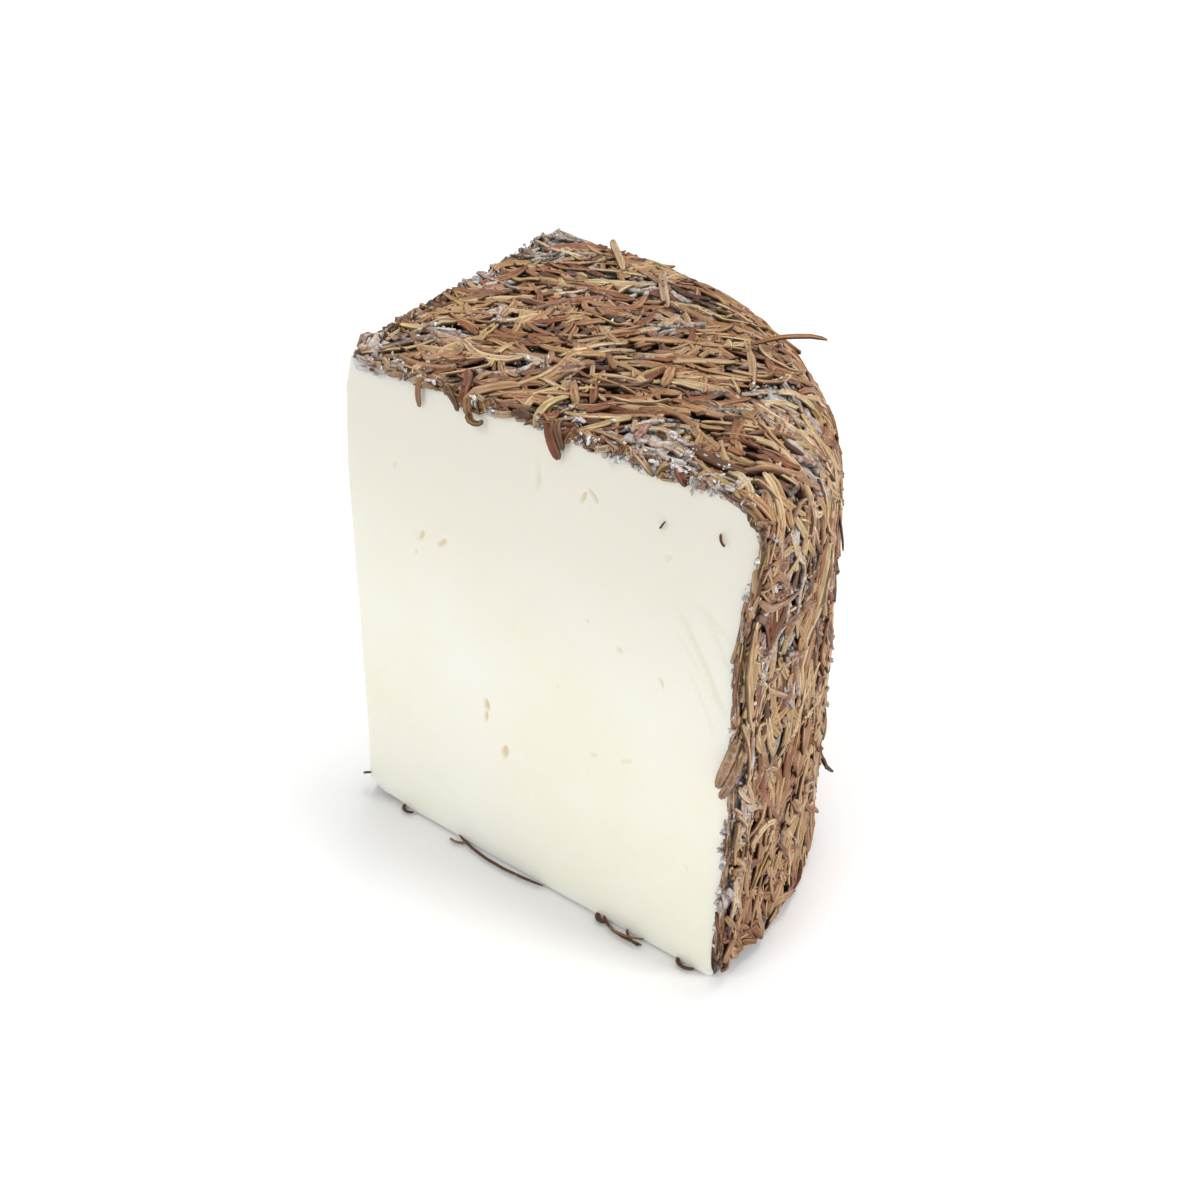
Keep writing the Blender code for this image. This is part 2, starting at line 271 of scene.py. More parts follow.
# %% How deep each layer lies
PASTE_UNDER_TOP = 2.7
PASTE_UNDER_SIDE = 2.6
PASTE_LIFT = 0.4  # over the table
EDGE_HEIGHTS = (0, 9, 16, 21, 27, 32, 38, 48, 59, 64, 68, 73, 78, 84, 90, 96, 101)
EDGE_DEPTHS = (1.2, 1.5, 0.9, 1.3, 0.7, 1.2, 0.3, 0.4, 0.3, 0.8, 1.5, 1.7, 1.9, 1.3, 0.6, 0.4, 0.8)
EDGE_FADE = math.radians(4)
EDGE_ALONG = (2, 6, 13, 20, 25, 29, 36, 40, 45, 50, 56, 60, 65, 70, 75, 80, 86, 91)
EDGE_TOPS = (98.4, 97.9, 98.1, 98.5, 99.0, 98.6, 98.3, 98.2, 99.0,
             98.8, 99.1, 98.4, 99.1, 99.3, 98.9, 98.9, 99.1, 98.5)
SECOND_EDGE_DEPTH = 1.5
THINNEST_CROWN = 0.2


def edge_share(turn):
    """0 at the first cut and 1 a few degrees further in."""
    return float(ease(max(turn, 0) / EDGE_FADE))


def paste_depth(turn, points, normals):
    """How far the paste lies under the rind: less beside the cuts, where the coat has worn off."""
    rim = np.interp(points[:, 1], EDGE_HEIGHTS, EDGE_DEPTHS)
    side = mix(rim, PASTE_UNDER_SIDE, edge_share(turn))
    crown = np.maximum(points[:, 1] - np.interp(points[:, 0], EDGE_ALONG, EDGE_TOPS), THINNEST_CROWN)
    top = mix(crown, PASTE_UNDER_TOP, edge_share(turn))
    top = mix(SECOND_EDGE_DEPTH, top, edge_share(CUT_ANGLE - turn))
    up = normals[:, 1]
    over = mix(side, top, ease(np.maximum(up, 0)))
    return mix(over, PASTE_LIFT, ease(np.maximum(-up, 0) * 1.3))


TIP_HEIGHTS = (2, 15, 45, 75, 92, 99)
TIP_BACK = (0.4, 0.6, 0.0, -0.8, 0.1, 2.0)
PASTE_CROWN = 98.2  # height of the paste at the tip edge


def tip_place(heights):
    """Places of the tip edge, which the knife left a little wavy, at given heights."""
    heights = np.asarray(heights, float)
    return np.stack([np.interp(heights, TIP_HEIGHTS, TIP_BACK), 0 * heights, heights], 1)


middle_line, middle_normals = profile(CUT_ANGLE / 2, 2.0)
middle_depths = paste_depth(CUT_ANGLE / 2, middle_line, middle_normals)
print("paste under the rind: from", round(float(middle_depths.min()), 2), "to",
      round(float(middle_depths.max()), 2), "mm half-way round")

# %% The skin of the paste, in three runs: top, side, base
ACROSS = 118  # faces from the tip edge to the shoulder
DOWN = 124  # faces from the shoulder to the foot
ROUND = 60  # faces from cut to cut
SKIN_START = 3.0  # radius at which the rounded skin takes over from the tip edge
FACES_UP = 0.7
PASTE_SWAY = 0.8  # share of the rind's swells


def split_run(points, normals):
    """The three runs of a section, parted where the surface faces half up and half down."""
    up = normals[:, 1]
    shoulder = int(np.argmax(up < FACES_UP))
    foot = int(np.argmax(up < -FACES_UP))
    return points[: shoulder + 1], points[shoulder: foot + 1], points[foot:]


def paste_section(turn):
    """One line of the paste's skin from the tip edge's crown to its foot, with evenly spread points."""
    points, normals = profile(turn, SKIN_START)
    flat = points - normals * paste_depth(turn, points, normals)[:, None]
    out = np.array((math.cos(turn), math.sin(turn), 0))
    places = flat[:, :1] * out + flat[:, 1:] * np.array((0, 0, 1))
    full = normals[:, :1] * out + normals[:, 1:] * np.array((0, 0, 1))
    sway = rind_swell(places) * (normals[:, 1] > -0.1)
    sway *= 1 - (1 - edge_share(turn)) * ease(np.maximum(normals[:, 1], 0))
    places = places + full * sway[:, None] * PASTE_SWAY
    top, side, base = split_run(places, normals)
    crown, heel = tip_place([PASTE_CROWN, PASTE_LIFT])
    top = resample(np.vstack([crown, top]), ACROSS + 1)
    side = resample(side, DOWN + 1)
    base = resample(np.vstack([base, heel]), ACROSS + 1)
    return np.vstack([top, side[1:], base[1:]])


# %% The worn foot of the tip edge
WORN_AWAY = (0, 2, 4.4, 8.6, 12)  # distances from the tip edge
WORN_LIFT = (3.3, 2.0, 1.0, 0.8, 0)  # how far the foot is worn up there
WORN_HEIGHT = 10.0  # above this the edge isn't worn


def worn_foot(places):
    """The same places, with the foot of the tip edge worn up."""
    lift = np.interp(np.hypot(places[..., 0], places[..., 1]), WORN_AWAY, WORN_LIFT)
    lift = lift * np.clip(1 - places[..., 2] / WORN_HEIGHT, 0, 1)
    return places + lift[..., None] * np.array((0, 0, 1.0))


paste_turns = np.linspace(0, CUT_ANGLE, ROUND + 1)
paste_skin = worn_foot(np.stack([paste_section(turn) for turn in paste_turns]))
print("paste skin", paste_skin.shape, "box", np.round(paste_skin.reshape(-1, 3).min(0), 1),
      np.round(paste_skin.reshape(-1, 3).max(0), 1))

# %% The two cut faces, stretched between their edges


def cut_patch(line):
    """A grid between the tip edge and one end line of the skin: rows run outwards, columns run down."""
    top = line[: ACROSS + 1]
    side = line[ACROSS: ACROSS + DOWN + 1]
    base = line[ACROSS + DOWN:][::-1]
    tip = tip_place(np.linspace(top[0, 2], base[0, 2], DOWN + 1))
    tip[0], tip[-1] = top[0], base[0]  # so that the corners meet exactly
    u = np.linspace(0, 1, ACROSS + 1)[:, None, None]
    v = np.linspace(0, 1, DOWN + 1)[None, :, None]
    ruled = (1 - v) * top[:, None] + v * base[:, None] + (1 - u) * tip[None] + u * side[None]
    corners = (1 - u) * (1 - v) * top[0] + u * (1 - v) * top[-1] + (1 - u) * v * base[0] + u * v * base[-1]
    return ruled - corners


first_cut = cut_patch(paste_skin[0])
second_cut = cut_patch(paste_skin[-1])
print("each cut:", first_cut.shape[0] - 1, "by", first_cut.shape[1] - 1, "faces")

# %% Weld them into one closed body
WELD = 2e-6  # metres
FIRST_SIDE, SECOND_SIDE = -1.0, 1.0  # marks the points of each cut
skin_rows, skin_columns = paste_skin.shape[:2]
skin_size = skin_rows * skin_columns
patch_size = (ACROSS + 1) * (DOWN + 1)
paste_places = np.vstack([paste_skin.reshape(-1, 3), first_cut.reshape(-1, 3), second_cut.reshape(-1, 3)])
paste_faces = np.vstack([
    grid_faces(skin_rows, skin_columns),
    grid_faces(ACROSS + 1, DOWN + 1, skin_size)[:, ::-1],
    grid_faces(ACROSS + 1, DOWN + 1, skin_size + patch_size),
])
skin_side = np.zeros((skin_rows, skin_columns))
skin_side[0] = FIRST_SIDE
skin_side[-1] = SECOND_SIDE
patch_sides = (np.full(patch_size, FIRST_SIDE), np.full(patch_size, SECOND_SIDE))
cut_side = np.concatenate([skin_side.ravel(), *patch_sides])
paste = new_piece("paste", paste_places, paste_faces, {"cut_side": cut_side})
work = bmesh.new()
work.from_mesh(paste.data)
bmesh.ops.remove_doubles(work, verts=work.verts, dist=WELD)
bmesh.ops.recalc_face_normals(work, faces=work.faces)
open_edges = sum(1 for edge in work.edges if not edge.is_manifold)
print("paste: open edges", open_edges, "points", len(work.verts))

# %% [markdown]
# ## Eyes and marks in the cuts
#
# This cheese has few holes. There are small slanted slits, a keyhole and a drop, a nick or two, and faint
# drags where the blade pulled the soft paste. Each is a place on the cut with a size, a lean and a depth.
# The grid is only fine enough for waves, so the faces round each mark are divided before they are pressed in.

# %% The marks of both cuts: along, height, half width, half height, lean in degrees, depth
FIRST_MARKS = (
    (18.4, 67.0, 0.60, 1.45, 30, 0.55),
    (23.8, 67.2, 0.65, 1.70, 52, 0.55),
    (16.7, 63.0, 0.40, 0.90, 10, 0.30),
    (47.9, 88.2, 0.55, 2.20, 4, 0.30),
    (58.4, 88.4, 0.50, 1.60, 24, 0.50),
    (60.6, 89.4, 0.40, 1.70, -48, 0.45),
    (59.5, 64.3, 0.45, 0.35, 0, 0.35),
    (34.4, 35.8, 0.85, 1.60, -6, 0.80),
    (34.2, 33.2, 0.55, 1.20, 4, 0.65),
    (39.0, 27.2, 0.95, 1.75, 16, 0.80),
    (61.4, 36.6, 0.50, 1.10, 70, 0.30),
    (67.1, 61.4, 0.80, 0.60, 15, 0.35),
    (76.6, 58.8, 0.35, 1.30, -25, 0.40),
    (77.0, 83.4, 0.60, 1.30, 35, 0.25),
    (69.0, 38.8, 0.45, 1.90, 62, 0.30),
    (12.0, 79.5, 0.40, 0.80, 12, 0.25),
    (52.5, 48.0, 0.35, 0.60, 30, 0.22),
    (83.5, 22.0, 0.40, 0.70, -20, 0.25),
)
SECOND_MARKS = (
    (27.0, 74.0, 0.65, 1.50, -20, 0.60),
    (29.8, 77.5, 0.40, 0.90, 20, 0.35),
    (52.5, 58.0, 0.70, 1.25, 10, 0.70),
    (44.0, 31.0, 0.95, 1.60, 25, 0.80),
    (47.6, 27.4, 0.50, 1.00, -15, 0.50),
    (71.0, 80.0, 0.55, 1.50, -35, 0.55),
    (66.0, 44.0, 0.40, 1.10, 60, 0.30),
    (16.0, 49.0, 0.40, 0.80, 5, 0.30),
    (80.0, 20.0, 0.50, 0.90, 40, 0.35),
    (35.0, 60.0, 0.35, 0.70, -50, 0.25),
)
print("marks:", len(FIRST_MARKS), "in the first cut and", len(SECOND_MARKS), "in the second")

# %% Divide the faces round each mark
MARK_ROOM = 2.2  # how far round a mark the faces are divided
ROOM_LESS = 0.8  # less room for the second division
CUT_NEAR = 1.6  # how far out of a cut's plane its points lie at most
DIVISIONS = 2

cut_outs = (np.array((0, -1, 0.0)), np.array((-math.sin(CUT_ANGLE), math.cos(CUT_ANGLE), 0)))
cut_alongs = (np.array((1.0, 0, 0)), np.array((math.cos(CUT_ANGLE), math.sin(CUT_ANGLE), 0)))


def on_cut(places, which):
    """Along, height, and distance out of a cut plane for each place."""
    return places @ cut_alongs[which], places[:, 2], places @ cut_outs[which]


def mesh_places(bm):
    """The corners of a bmesh as millimetres round the wheel's axis."""
    return np.array([vert.co for vert in bm.verts]) / MM - WHEEL_AXIS


for level in range(DIVISIONS):
    places = mesh_places(work)
    near_mark = np.zeros(len(places), bool)
    for which, marks in enumerate((FIRST_MARKS, SECOND_MARKS)):
        along, height, out = on_cut(places, which)
        for mark in marks:
            room = max(mark[2:4]) + MARK_ROOM - level * ROOM_LESS
            close = np.hypot(along - mark[0], height - mark[1]) < room
            near_mark |= close & (np.abs(out) < CUT_NEAR)
    work.verts.ensure_lookup_table()
    chosen = [edge for edge in work.edges if all(near_mark[vert.index] for vert in edge.verts)]
    bmesh.ops.subdivide_edges(work, edges=chosen, cuts=1, use_grid_fill=True)
    work.verts.index_update()
print("paste after dividing:", len(work.faces), "faces")

# %% How deep the marks and the drags press
DRAGS = (  # from, to as along and height on the first cut, and depth
    ((77.2, 77.4), (92.0, 54.2), 0.26),
    ((82.1, 77.4), (91.6, 70.8), 0.2),
    ((78.5, 71.2), (90.6, 54.6), 0.16),
    ((84.3, 76.3), (91.4, 64.0), 0.2),
    ((80.5, 66.0), (89.0, 50.0), 0.13),
    ((47.3, 94.0), (47.8, 85.0), 0.14),
    ((24.0, 52.0), (29.5, 49.0), 0.05),
    ((60.0, 24.0), (76.0, 15.5), 0.07),
)
DRAG_WIDTH = 0.7
DRAG_RIM = 0.9  # how far beside a drag the paste is pushed up
DRAG_BOW = 0.8
MARK_FLOOR = 0.35  # share of a mark that is flat at the bottom
MARK_WALL = 0.85
FULL_MARK = 0.6  # a mark this deep has the full colour of a hollow


def mark_press(along, height, marks):
    """Depth of the marks at each place of a cut, and the share of its mark's full depth."""
    depth = np.zeros(len(along))
    share = np.zeros(len(along))
    for x, z, half_width, half_height, lean, deep in marks:
        turn = math.radians(lean)
        across = (along - x) * math.cos(turn) - (height - z) * math.sin(turn)
        upward = (along - x) * math.sin(turn) + (height - z) * math.cos(turn)
        reach = np.sqrt((across / half_width) ** 2 + (upward / half_height) ** 2)
        inside = 1 - ease((reach - MARK_FLOOR) / MARK_WALL)
        depth = np.maximum(depth, deep * inside)
        share = np.maximum(share, inside * min(deep / FULL_MARK, 1.0))
    return depth, share


def drag_press(along, height):
    """Depth of the shallow grooves that the blade pulled in the first cut."""
    depth = np.zeros(len(along))
    for start, end, deep in DRAGS:
        run = np.array(end) - np.array(start)
        from_start, over_start = along - start[0], height - start[1]
        share = (from_start * run[0] + over_start * run[1]) / (run @ run)
        bow = DRAG_BOW * np.sin(share * 3.0)
        aside = (from_start * run[1] - over_start * run[0]) / np.linalg.norm(run) + bow
        fade = ease(share * 4) * ease((1 - share) * 3)
        groove = np.exp(-(aside / DRAG_WIDTH) ** 2)
        groove -= 0.5 * np.exp(-((aside - DRAG_RIM) / DRAG_WIDTH) ** 2)
        depth += deep * groove * fade
    return depth


# %% Press marks, waves and drags into the cuts
LONG_WAVES, SHORT_WAVES = (0.24, 34.0), (0.08, 13.0)  # height and size
SECOND_AWAY = 40.0  # moves the second cut's waves to another part of the noise
CUT_SETBACK = 0.25
TIP_FADE = 5.0  # the tip edge itself stays where it is
DRAG_FULL = 0.4
SHARP_FROM = math.radians(38)
places = mesh_places(work)
side_layer = work.verts.layers.float["cut_side"]
cut_side = np.array([vert[side_layer] for vert in work.verts])
hollow = np.zeros(len(places))
# share of each point's drag groove depth, for the painted shade along the grooves
drag_shade = np.zeros(len(places))
pressed = places.copy()
for which, marks in enumerate((FIRST_MARKS, SECOND_MARKS)):
    along, height, out = on_cut(places, which)
    facing = cut_side > 0.5 if which else cut_side < -0.5
    along, height = along[facing], height[facing]
    spots = np.stack([along, height, np.full(len(along), SECOND_AWAY * which)], 1)
    waves = LONG_WAVES[0] * swell(spots, LONG_WAVES[1])
    waves += SHORT_WAVES[0] * swell(spots * (1, 2.2, 1), SHORT_WAVES[1], 5.0)
    depth, share = mark_press(along, height, marks)
    if not which:
        grooves = drag_press(along, height)
        drag_shade[facing] = np.clip(0.5 + grooves / DRAG_FULL, 0, 1)
        depth = depth + grooves
    inner = ease(np.minimum(along / TIP_FADE, 1))
    pressed[facing] -= cut_outs[which] * ((depth + CUT_SETBACK + waves) * inner)[:, None]
    hollow[facing] = share
work.verts.ensure_lookup_table()
for vert, place in zip(work.verts, (pressed + WHEEL_AXIS) * MM):
    vert.co = place
bmesh.ops.recalc_face_normals(work, faces=work.faces)
work.to_mesh(paste.data)
work.free()
add_numbers(paste.data, {"hollow": hollow, "drag_shade": drag_shade})
paste.data.shade_smooth()
paste.data.set_sharp_from_angle(angle=SHARP_FROM)
print("paste:", triangles(paste), "triangles")

# %% [markdown]
# ## The bed under the leaves
#
# Between the leaves the rind shows: a thin crust of dark crumbs with grey-white bloom, thickest in patches
# along the top edge, at the tip and here and there on the side. Its finish darkens the crumbs further with
# painted shade of the gaps between leaves. It is a closed shell that is sunk into the paste, with a lumpy
# outside. Only the outside needs fine faces, so the inside has every fourth row.

# %% Where the bloom is thick
BLOOM_PATCHES = (  # place and reach of each patch
    ((4.5, 1.2, 99), 4.0),
    ((12.0, 2.5, 98), 4.5),
    ((2.0, 8.7, 99), 4.0),
    ((59.0, 4.0, 99), 3.2),
    ((63.0, 8.5, 99), 2.8),
    ((71.0, 6.0, 99), 3.2),
    ((77.6, 3.0, 98), 4.0),
    ((88.7, 2.5, 97), 4.0),
    ((12.5, 50.5, 99), 4.0),
    ((6.0, 19.0, 99), 5.0),
    ((-5.0, 66.0, 99), 5.0),
    ((20.0, 65.0, 99), 5.0),
    ((71.8, 31.5, 98), 5.0),
    ((70.6, 42.2, 96), 5.0),
    ((92.5, 6.0, 61), 4.5),
    ((93.0, 9.0, 70), 5.0),
    ((94.5, 11.0, 88), 4.5),
    ((91.5, 18.0, 57), 4.0),
    ((92.0, 16.0, 46), 4.0),
    ((84.0, 40.0, 60), 5.0),
    ((81.0, 31.0, 94), 4.5),
    ((55.0, 62.0, 97), 4.5),
    ((30.0, 20.0, 99), 4.0),
    ((8.0, 34.0, 99), 4.0),
    ((36.0, 52.0, 99), 4.0),
    ((92.5, 4.5, 80), 3.5),
    ((92.0, 15.7, 79), 5.0),
    ((92.0, 15.6, 66), 4.0),
    ((93.0, 4.0, 48), 4.5),
    ((93.0, 4.0, 38), 4.0),
    ((93.0, 2.0, 19), 3.5),
    ((88.0, 29.0, 90), 5.0),
    ((60.0, 71.0, 50), 8.0),
    ((20.0, 90.0, 70), 8.0),
    ((40.0, 83.0, 25), 7.0),
    ((-10.0, 90.0, 40), 6.0),
    ((77.0, 41.0, 96), 5.0),
    ((68.0, 56.0, 96), 5.0),
    ((86.0, 29.0, 92), 4.5),
    ((-8.0, 44.0, 99), 6.0),
    ((-12.0, 78.0, 98), 7.0),
)
BLOOM_EVERYWHERE = 0.40
BLOOM_SWELLS = ((0.42, 9.0, 11.0), (0.28, 3.4, 4.0))
PATCH_BLOOM = 0.75


def bloom_amount(places):
    """How thick the bloom lies at each place, from 0 to 1."""
    places = np.asarray(places)
    amount = BLOOM_EVERYWHERE + swells(places, BLOOM_SWELLS)
    for centre, reach in BLOOM_PATCHES:
        away = np.linalg.norm(places - np.array(centre), axis=1)
        amount = amount + PATCH_BLOOM * np.exp(-(away / reach) ** 2)
    return np.clip(amount, 0, 1)


patch_bloom = bloom_amount([centre for centre, _ in BLOOM_PATCHES])
print("bloom in the patches:", round(float(patch_bloom.mean()), 2), "on average")

# %% The bed's shell
BED_ROWS = 161
BED_COLUMNS = 277
BED_START = 2.4
BED_THICK = 0.7
BED_SUNK = 0.5
BED_UNDER = 0.15  # how far it stands out on the base
EDGE_STANDING = 0.2  # share of its thickness on top beside a cut
LEAST_DEPTH = 0.45  # share of the paste's depth that always stays free over the bed, for the leaves
BED_HOLD_BACK = 0.35  # from the planes of the cuts, so that bits and leaves make the edge that shows
BASE_HOLD_BACK = 1.1
INSIDE_STEP = 4


def bed_line(turn, raise_by):
    """One line down the bed at a turn, standing out from the paste by raise_by on its top and side."""
    points, normals = profile(turn, BED_START)
    depth = paste_depth(turn, points, normals)
    beneath, on_top = normals[:, 1] < -0.75, normals[:, 1] > 0.3
    standing = np.where(beneath, np.minimum(raise_by, BED_UNDER), raise_by)
    standing = np.where(on_top, standing * mix(EDGE_STANDING, 1, edge_share(turn)), standing)
    inward = np.maximum(depth - standing, LEAST_DEPTH * depth)
    return resample(points - normals * inward[:, None], BED_COLUMNS)


def bed_grid(raise_by):
    """Places of a skin whose first and last rows lie just inside the planes of the cuts."""
    grid = np.zeros((BED_ROWS, BED_COLUMNS, 3))
    for row, part in enumerate(np.linspace(0, 1, BED_ROWS)):
        line = bed_line(CUT_ANGLE * part, raise_by)
        radius = np.maximum(line[:, 0], BED_START)
        under = ease((3.0 - line[:, 1]) / 3.0) * ease((line[:, 0] - 2) / 8)
        hold_back = mix(BED_HOLD_BACK, BASE_HOLD_BACK, under)
        spare = np.arcsin(np.clip(hold_back / radius, -0.5, 0.5))
        turn = mix(spare, CUT_ANGLE - spare, part)
        grid[row] = np.stack([radius * np.cos(turn), radius * np.sin(turn), line[:, 1]], 1)
    return grid


LUMP_SWELLS = ((0.25, 2.2, 1.0), (0.16, 5.5, 2.0))
BLOOM_GROWTH = 0.95
PRESSED_BELOW, PRESSED_SHARE = 1.2, 0.06  # the base is pressed nearly flat
BED_LIFT = 0.1  # over the table


def bed_lumps(grid, growth=BLOOM_GROWTH):
    """How far the crumbs and the bloom stand out at each place of a grid."""
    flat = grid.reshape(-1, 3)
    bloom = bloom_amount(flat)
    lumps = swells(flat, LUMP_SWELLS) + growth * ease((bloom - 0.55) / 0.45)
    lumps = lumps + rind_swell(flat) * PASTE_SWAY
    lumps = np.where(flat[:, 2] < PRESSED_BELOW, PRESSED_SHARE * lumps, lumps)
    return lumps.reshape(grid.shape[:2]), bloom.reshape(grid.shape[:2])


bed_out = bed_grid(BED_THICK)
lumps, bed_bloom = bed_lumps(bed_out)
bed_out += grid_normals(bed_out) * lumps[..., None]
bed_out[..., 2] = np.maximum(bed_out[..., 2], BED_LIFT)
bed_out = worn_foot(bed_out)
bed_in = worn_foot(bed_grid(-BED_SUNK)[::INSIDE_STEP, ::INSIDE_STEP])
print("bed lumps from", round(float(lumps.min()), 2), "to", round(float(lumps.max()), 2), "mm")

# %% Sew the bed's outside to its inside


def border(rows, columns, first):
    """Numbers of the points round a grid, in order."""
    corner = first + np.arange(rows * columns).reshape(rows, columns)
    return [*corner[0, :-1], *corner[:-1, -1], *corner[-1, :0:-1], *corner[:0:-1, 0]]


def seam_faces(fine, coarse, step):
    """Triangles between a finely divided border and one with every step-th point."""
    faces = []
    for index, point in enumerate(coarse):
        after = coarse[(index + 1) % len(coarse)]
        run = [fine[(index * step + k) % len(fine)] for k in range(step + 1)]
        for k in range(step):
            faces.append((run[k], run[k + 1], point if k < step // 2 else after))
        faces.append((point, run[step // 2], after))
    return faces


in_rows, in_columns = bed_in.shape[:2]
out_count, in_count = BED_ROWS * BED_COLUMNS, in_rows * in_columns
quads = np.vstack([
    grid_faces(BED_ROWS, BED_COLUMNS),
    grid_faces(in_rows, in_columns, out_count)[:, ::-1],
])
seam = seam_faces(border(BED_ROWS, BED_COLUMNS, 0), border(in_rows, in_columns, out_count), INSIDE_STEP)
bed_faces = np.vstack([quads[:, [0, 1, 2]], quads[:, [0, 2, 3]], seam])
bed_places = inside_box(np.vstack([bed_out.reshape(-1, 3), bed_in.reshape(-1, 3)]))
bed_numbers = {"bloom": np.concatenate([bed_bloom.ravel(), np.zeros(in_count)])}
bed = new_piece("rind_bed", bed_places, bed_faces, bed_numbers)
work = bmesh.new()
work.from_mesh(bed.data)
bmesh.ops.recalc_face_normals(work, faces=work.faces)
open_edges = sum(1 for edge in work.edges if not edge.is_manifold)
print("bed: open edges", open_edges, "faces", len(work.faces))
work.to_mesh(bed.data)
work.free()

# %% [markdown]
# ## The form of one dried leaf
#
# A dried rosemary leaf is a narrow blade, 5 to 17 mm long and 1.1 to 1.9 mm wide, blunt at both ends. Its
# margins roll in, so two ridges run along it with a groove between. A curve with a bevel can't show that
# groove, so each leaf is a row of eight-pointed rings with shares of its width and thickness. All leaves of
# a kind are worked out together and joined in one mesh.

# %% Rings and section of a leaf
RING_SHARES = np.array((0.0, 0.07, 0.22, 0.40, 0.60, 0.78, 0.93, 1.0))
SHORT_SHARES = np.array((0.0, 0.12, 0.5, 0.88, 1.0))
SECTION_ACROSS = np.array((-1.0, -0.62, 0.0, 0.62, 1.0, 0.60, 0.0, -0.60))
SECTION_UP = np.array((0.0, 0.86, 0.34, 0.86, 0.0, -0.72, -0.55, -0.72))
# The finish paints shade where these are 1: on the rolled margins, beneath, and partly at the ends
SECTION_SHADE = (SECTION_UP <= 0).astype(float)  # 1 on the rolled margins and beneath
END_SHADE = 0.3
START_ROUND, FINISH_ROUND = 0.16, 0.12  # shares of the length over which the ends are rounded
THIN_END = 0.06
TAPER = 0.22


def along_line(points, shares):
    """Places at shares (0 to 1) of a line's length."""
    run = running_length(points)
    wanted = np.asarray(shares) * run[-1]
    return np.stack([np.interp(wanted, run, points[:, axis]) for axis in range(points.shape[1])], 1)


def gathered(leaves, label):
    """One of the leaves' values as an array."""
    return np.array([leaf[label] for leaf in leaves])


# %% The body of many leaves at once


def leaf_frames(leaves):
    """Spines of leaves, held inside the model's box, and the directions across and up at each ring."""
    spine = gathered(leaves, "spine")
    room = gathered(leaves, "width") * (0.42 + 0.2 * gathered(leaves, "tone"))
    room = room[:, None, None] * (1, 1, 0.85)
    spine = np.clip(spine, BOX_LOW + 0.05, BOX_HIGH - 0.07 - room)
    ahead = np.gradient(spine, axis=1)
    ahead /= np.linalg.norm(ahead, axis=2)[..., None]
    side = np.cross(ahead, gathered(leaves, "up"))
    side /= np.maximum(np.linalg.norm(side, axis=2), 1e-9)[..., None]
    up = np.cross(side, ahead)
    roll = gathered(leaves, "roll")[:, None, None]
    return spine, side * np.cos(roll) + up * np.sin(roll), up * np.cos(roll) - side * np.sin(roll)


def leaf_body(leaves, shares):
    """Share of its full width that each leaf has at each ring: rounded or sliced ends and a slight swell."""
    ends = gathered(leaves, "ends")  # how blunt each end is: 1 is cut square
    body = 1 - TAPER * np.abs(2 * shares - 1) ** 3
    body = body * (1 + gathered(leaves, "swell")[:, None] * np.sin(shares * 9 + 1.7))
    for column, away in ((0, shares / START_ROUND), (1, (1 - shares) / FINISH_ROUND)):
        blunt = mix(np.clip(away, 0, 1), 1, ends[:, column: column + 1])
        body = body * np.sqrt(np.maximum(1 - (1 - blunt) ** 2, THIN_END))
    return body


def tube_triangles(rings, sides):
    """Triangles of a closed tube of rings, with a point in the middle of each end."""
    faces = []
    for ring in range(rings - 1):
        for k in range(sides):
            a, b = ring * sides + k, ring * sides + (k + 1) % sides
            faces.append((a, b, b + sides))
            faces.append((a, b + sides, a + sides))
    last = (rings - 1) * sides
    for k in range(sides):
        faces.append((k, rings * sides, (k + 1) % sides))
        faces.append((last + k, last + (k + 1) % sides, rings * sides + 1))
    return np.array(faces)[:, ::-1]


def leaf_rings(leaves, shares):
    """Places, triangles and numbers of leaves that all have rings at these shares of their length."""
    count, rings, sides = len(leaves), len(shares), len(SECTION_ACROSS)
    spine, side, up = leaf_frames(leaves)
    body = leaf_body(leaves, shares)
    wide = body * gathered(leaves, "width")[:, None] / 2
    deep = body * gathered(leaves, "thick")[:, None] / 2
    groove = gathered(leaves, "groove")[:, None, None]
    section_up = np.where(SECTION_ACROSS == 0, SECTION_UP * groove, SECTION_UP)
    places = spine[:, :, None] + side[:, :, None] * (SECTION_ACROSS * wide[..., None])[..., None]
    places = places + up[:, :, None] * (section_up * deep[..., None])[..., None]
    places = np.concatenate([places.reshape(count, -1, 3), spine[:, [0, -1]]], 1)
    each = rings * sides + 2
    faces = tube_triangles(rings, sides)[None] + (np.arange(count) * each)[:, None, None]
    across = np.concatenate([np.tile(np.abs(SECTION_ACROSS), rings), [0, 0]])
    edge = np.concatenate([np.tile(SECTION_SHADE, rings), [END_SHADE, END_SHADE]])
    along = np.concatenate([np.repeat(shares, sides), [0, 1]])
    numbers = {
        "across": np.tile(across, count),
        "edge": np.tile(edge, count),
        "along": (along[None] * gathered(leaves, "length")[:, None]).ravel(),
        "share": np.tile(along, count),
    }
    for label in ("tone", "low", "bloom"):
        numbers[label] = np.repeat(gathered(leaves, label), each)
    return places.reshape(-1, 3), faces.reshape(-1, 3), numbers


# %% [markdown]
# ## The skin that the leaves are laid on
#
# The leaves lie on the bed, and some reach past the cuts, where the knife left them. A search tree over a
# coarser copy of the bed's outside gives the nearest place and the way up. That copy goes on past both cuts.

# %% The laying skin
LAYING_ROWS = 110
LAYING_COLUMNS = 170
LAYING_PAST = math.radians(12)
LAYING_GROWTH = 0.4  # how far the bloom lifts the leaves
BASE_COLUMNS = 90  # columns of the bed that lie on the base, which has leaves of its own

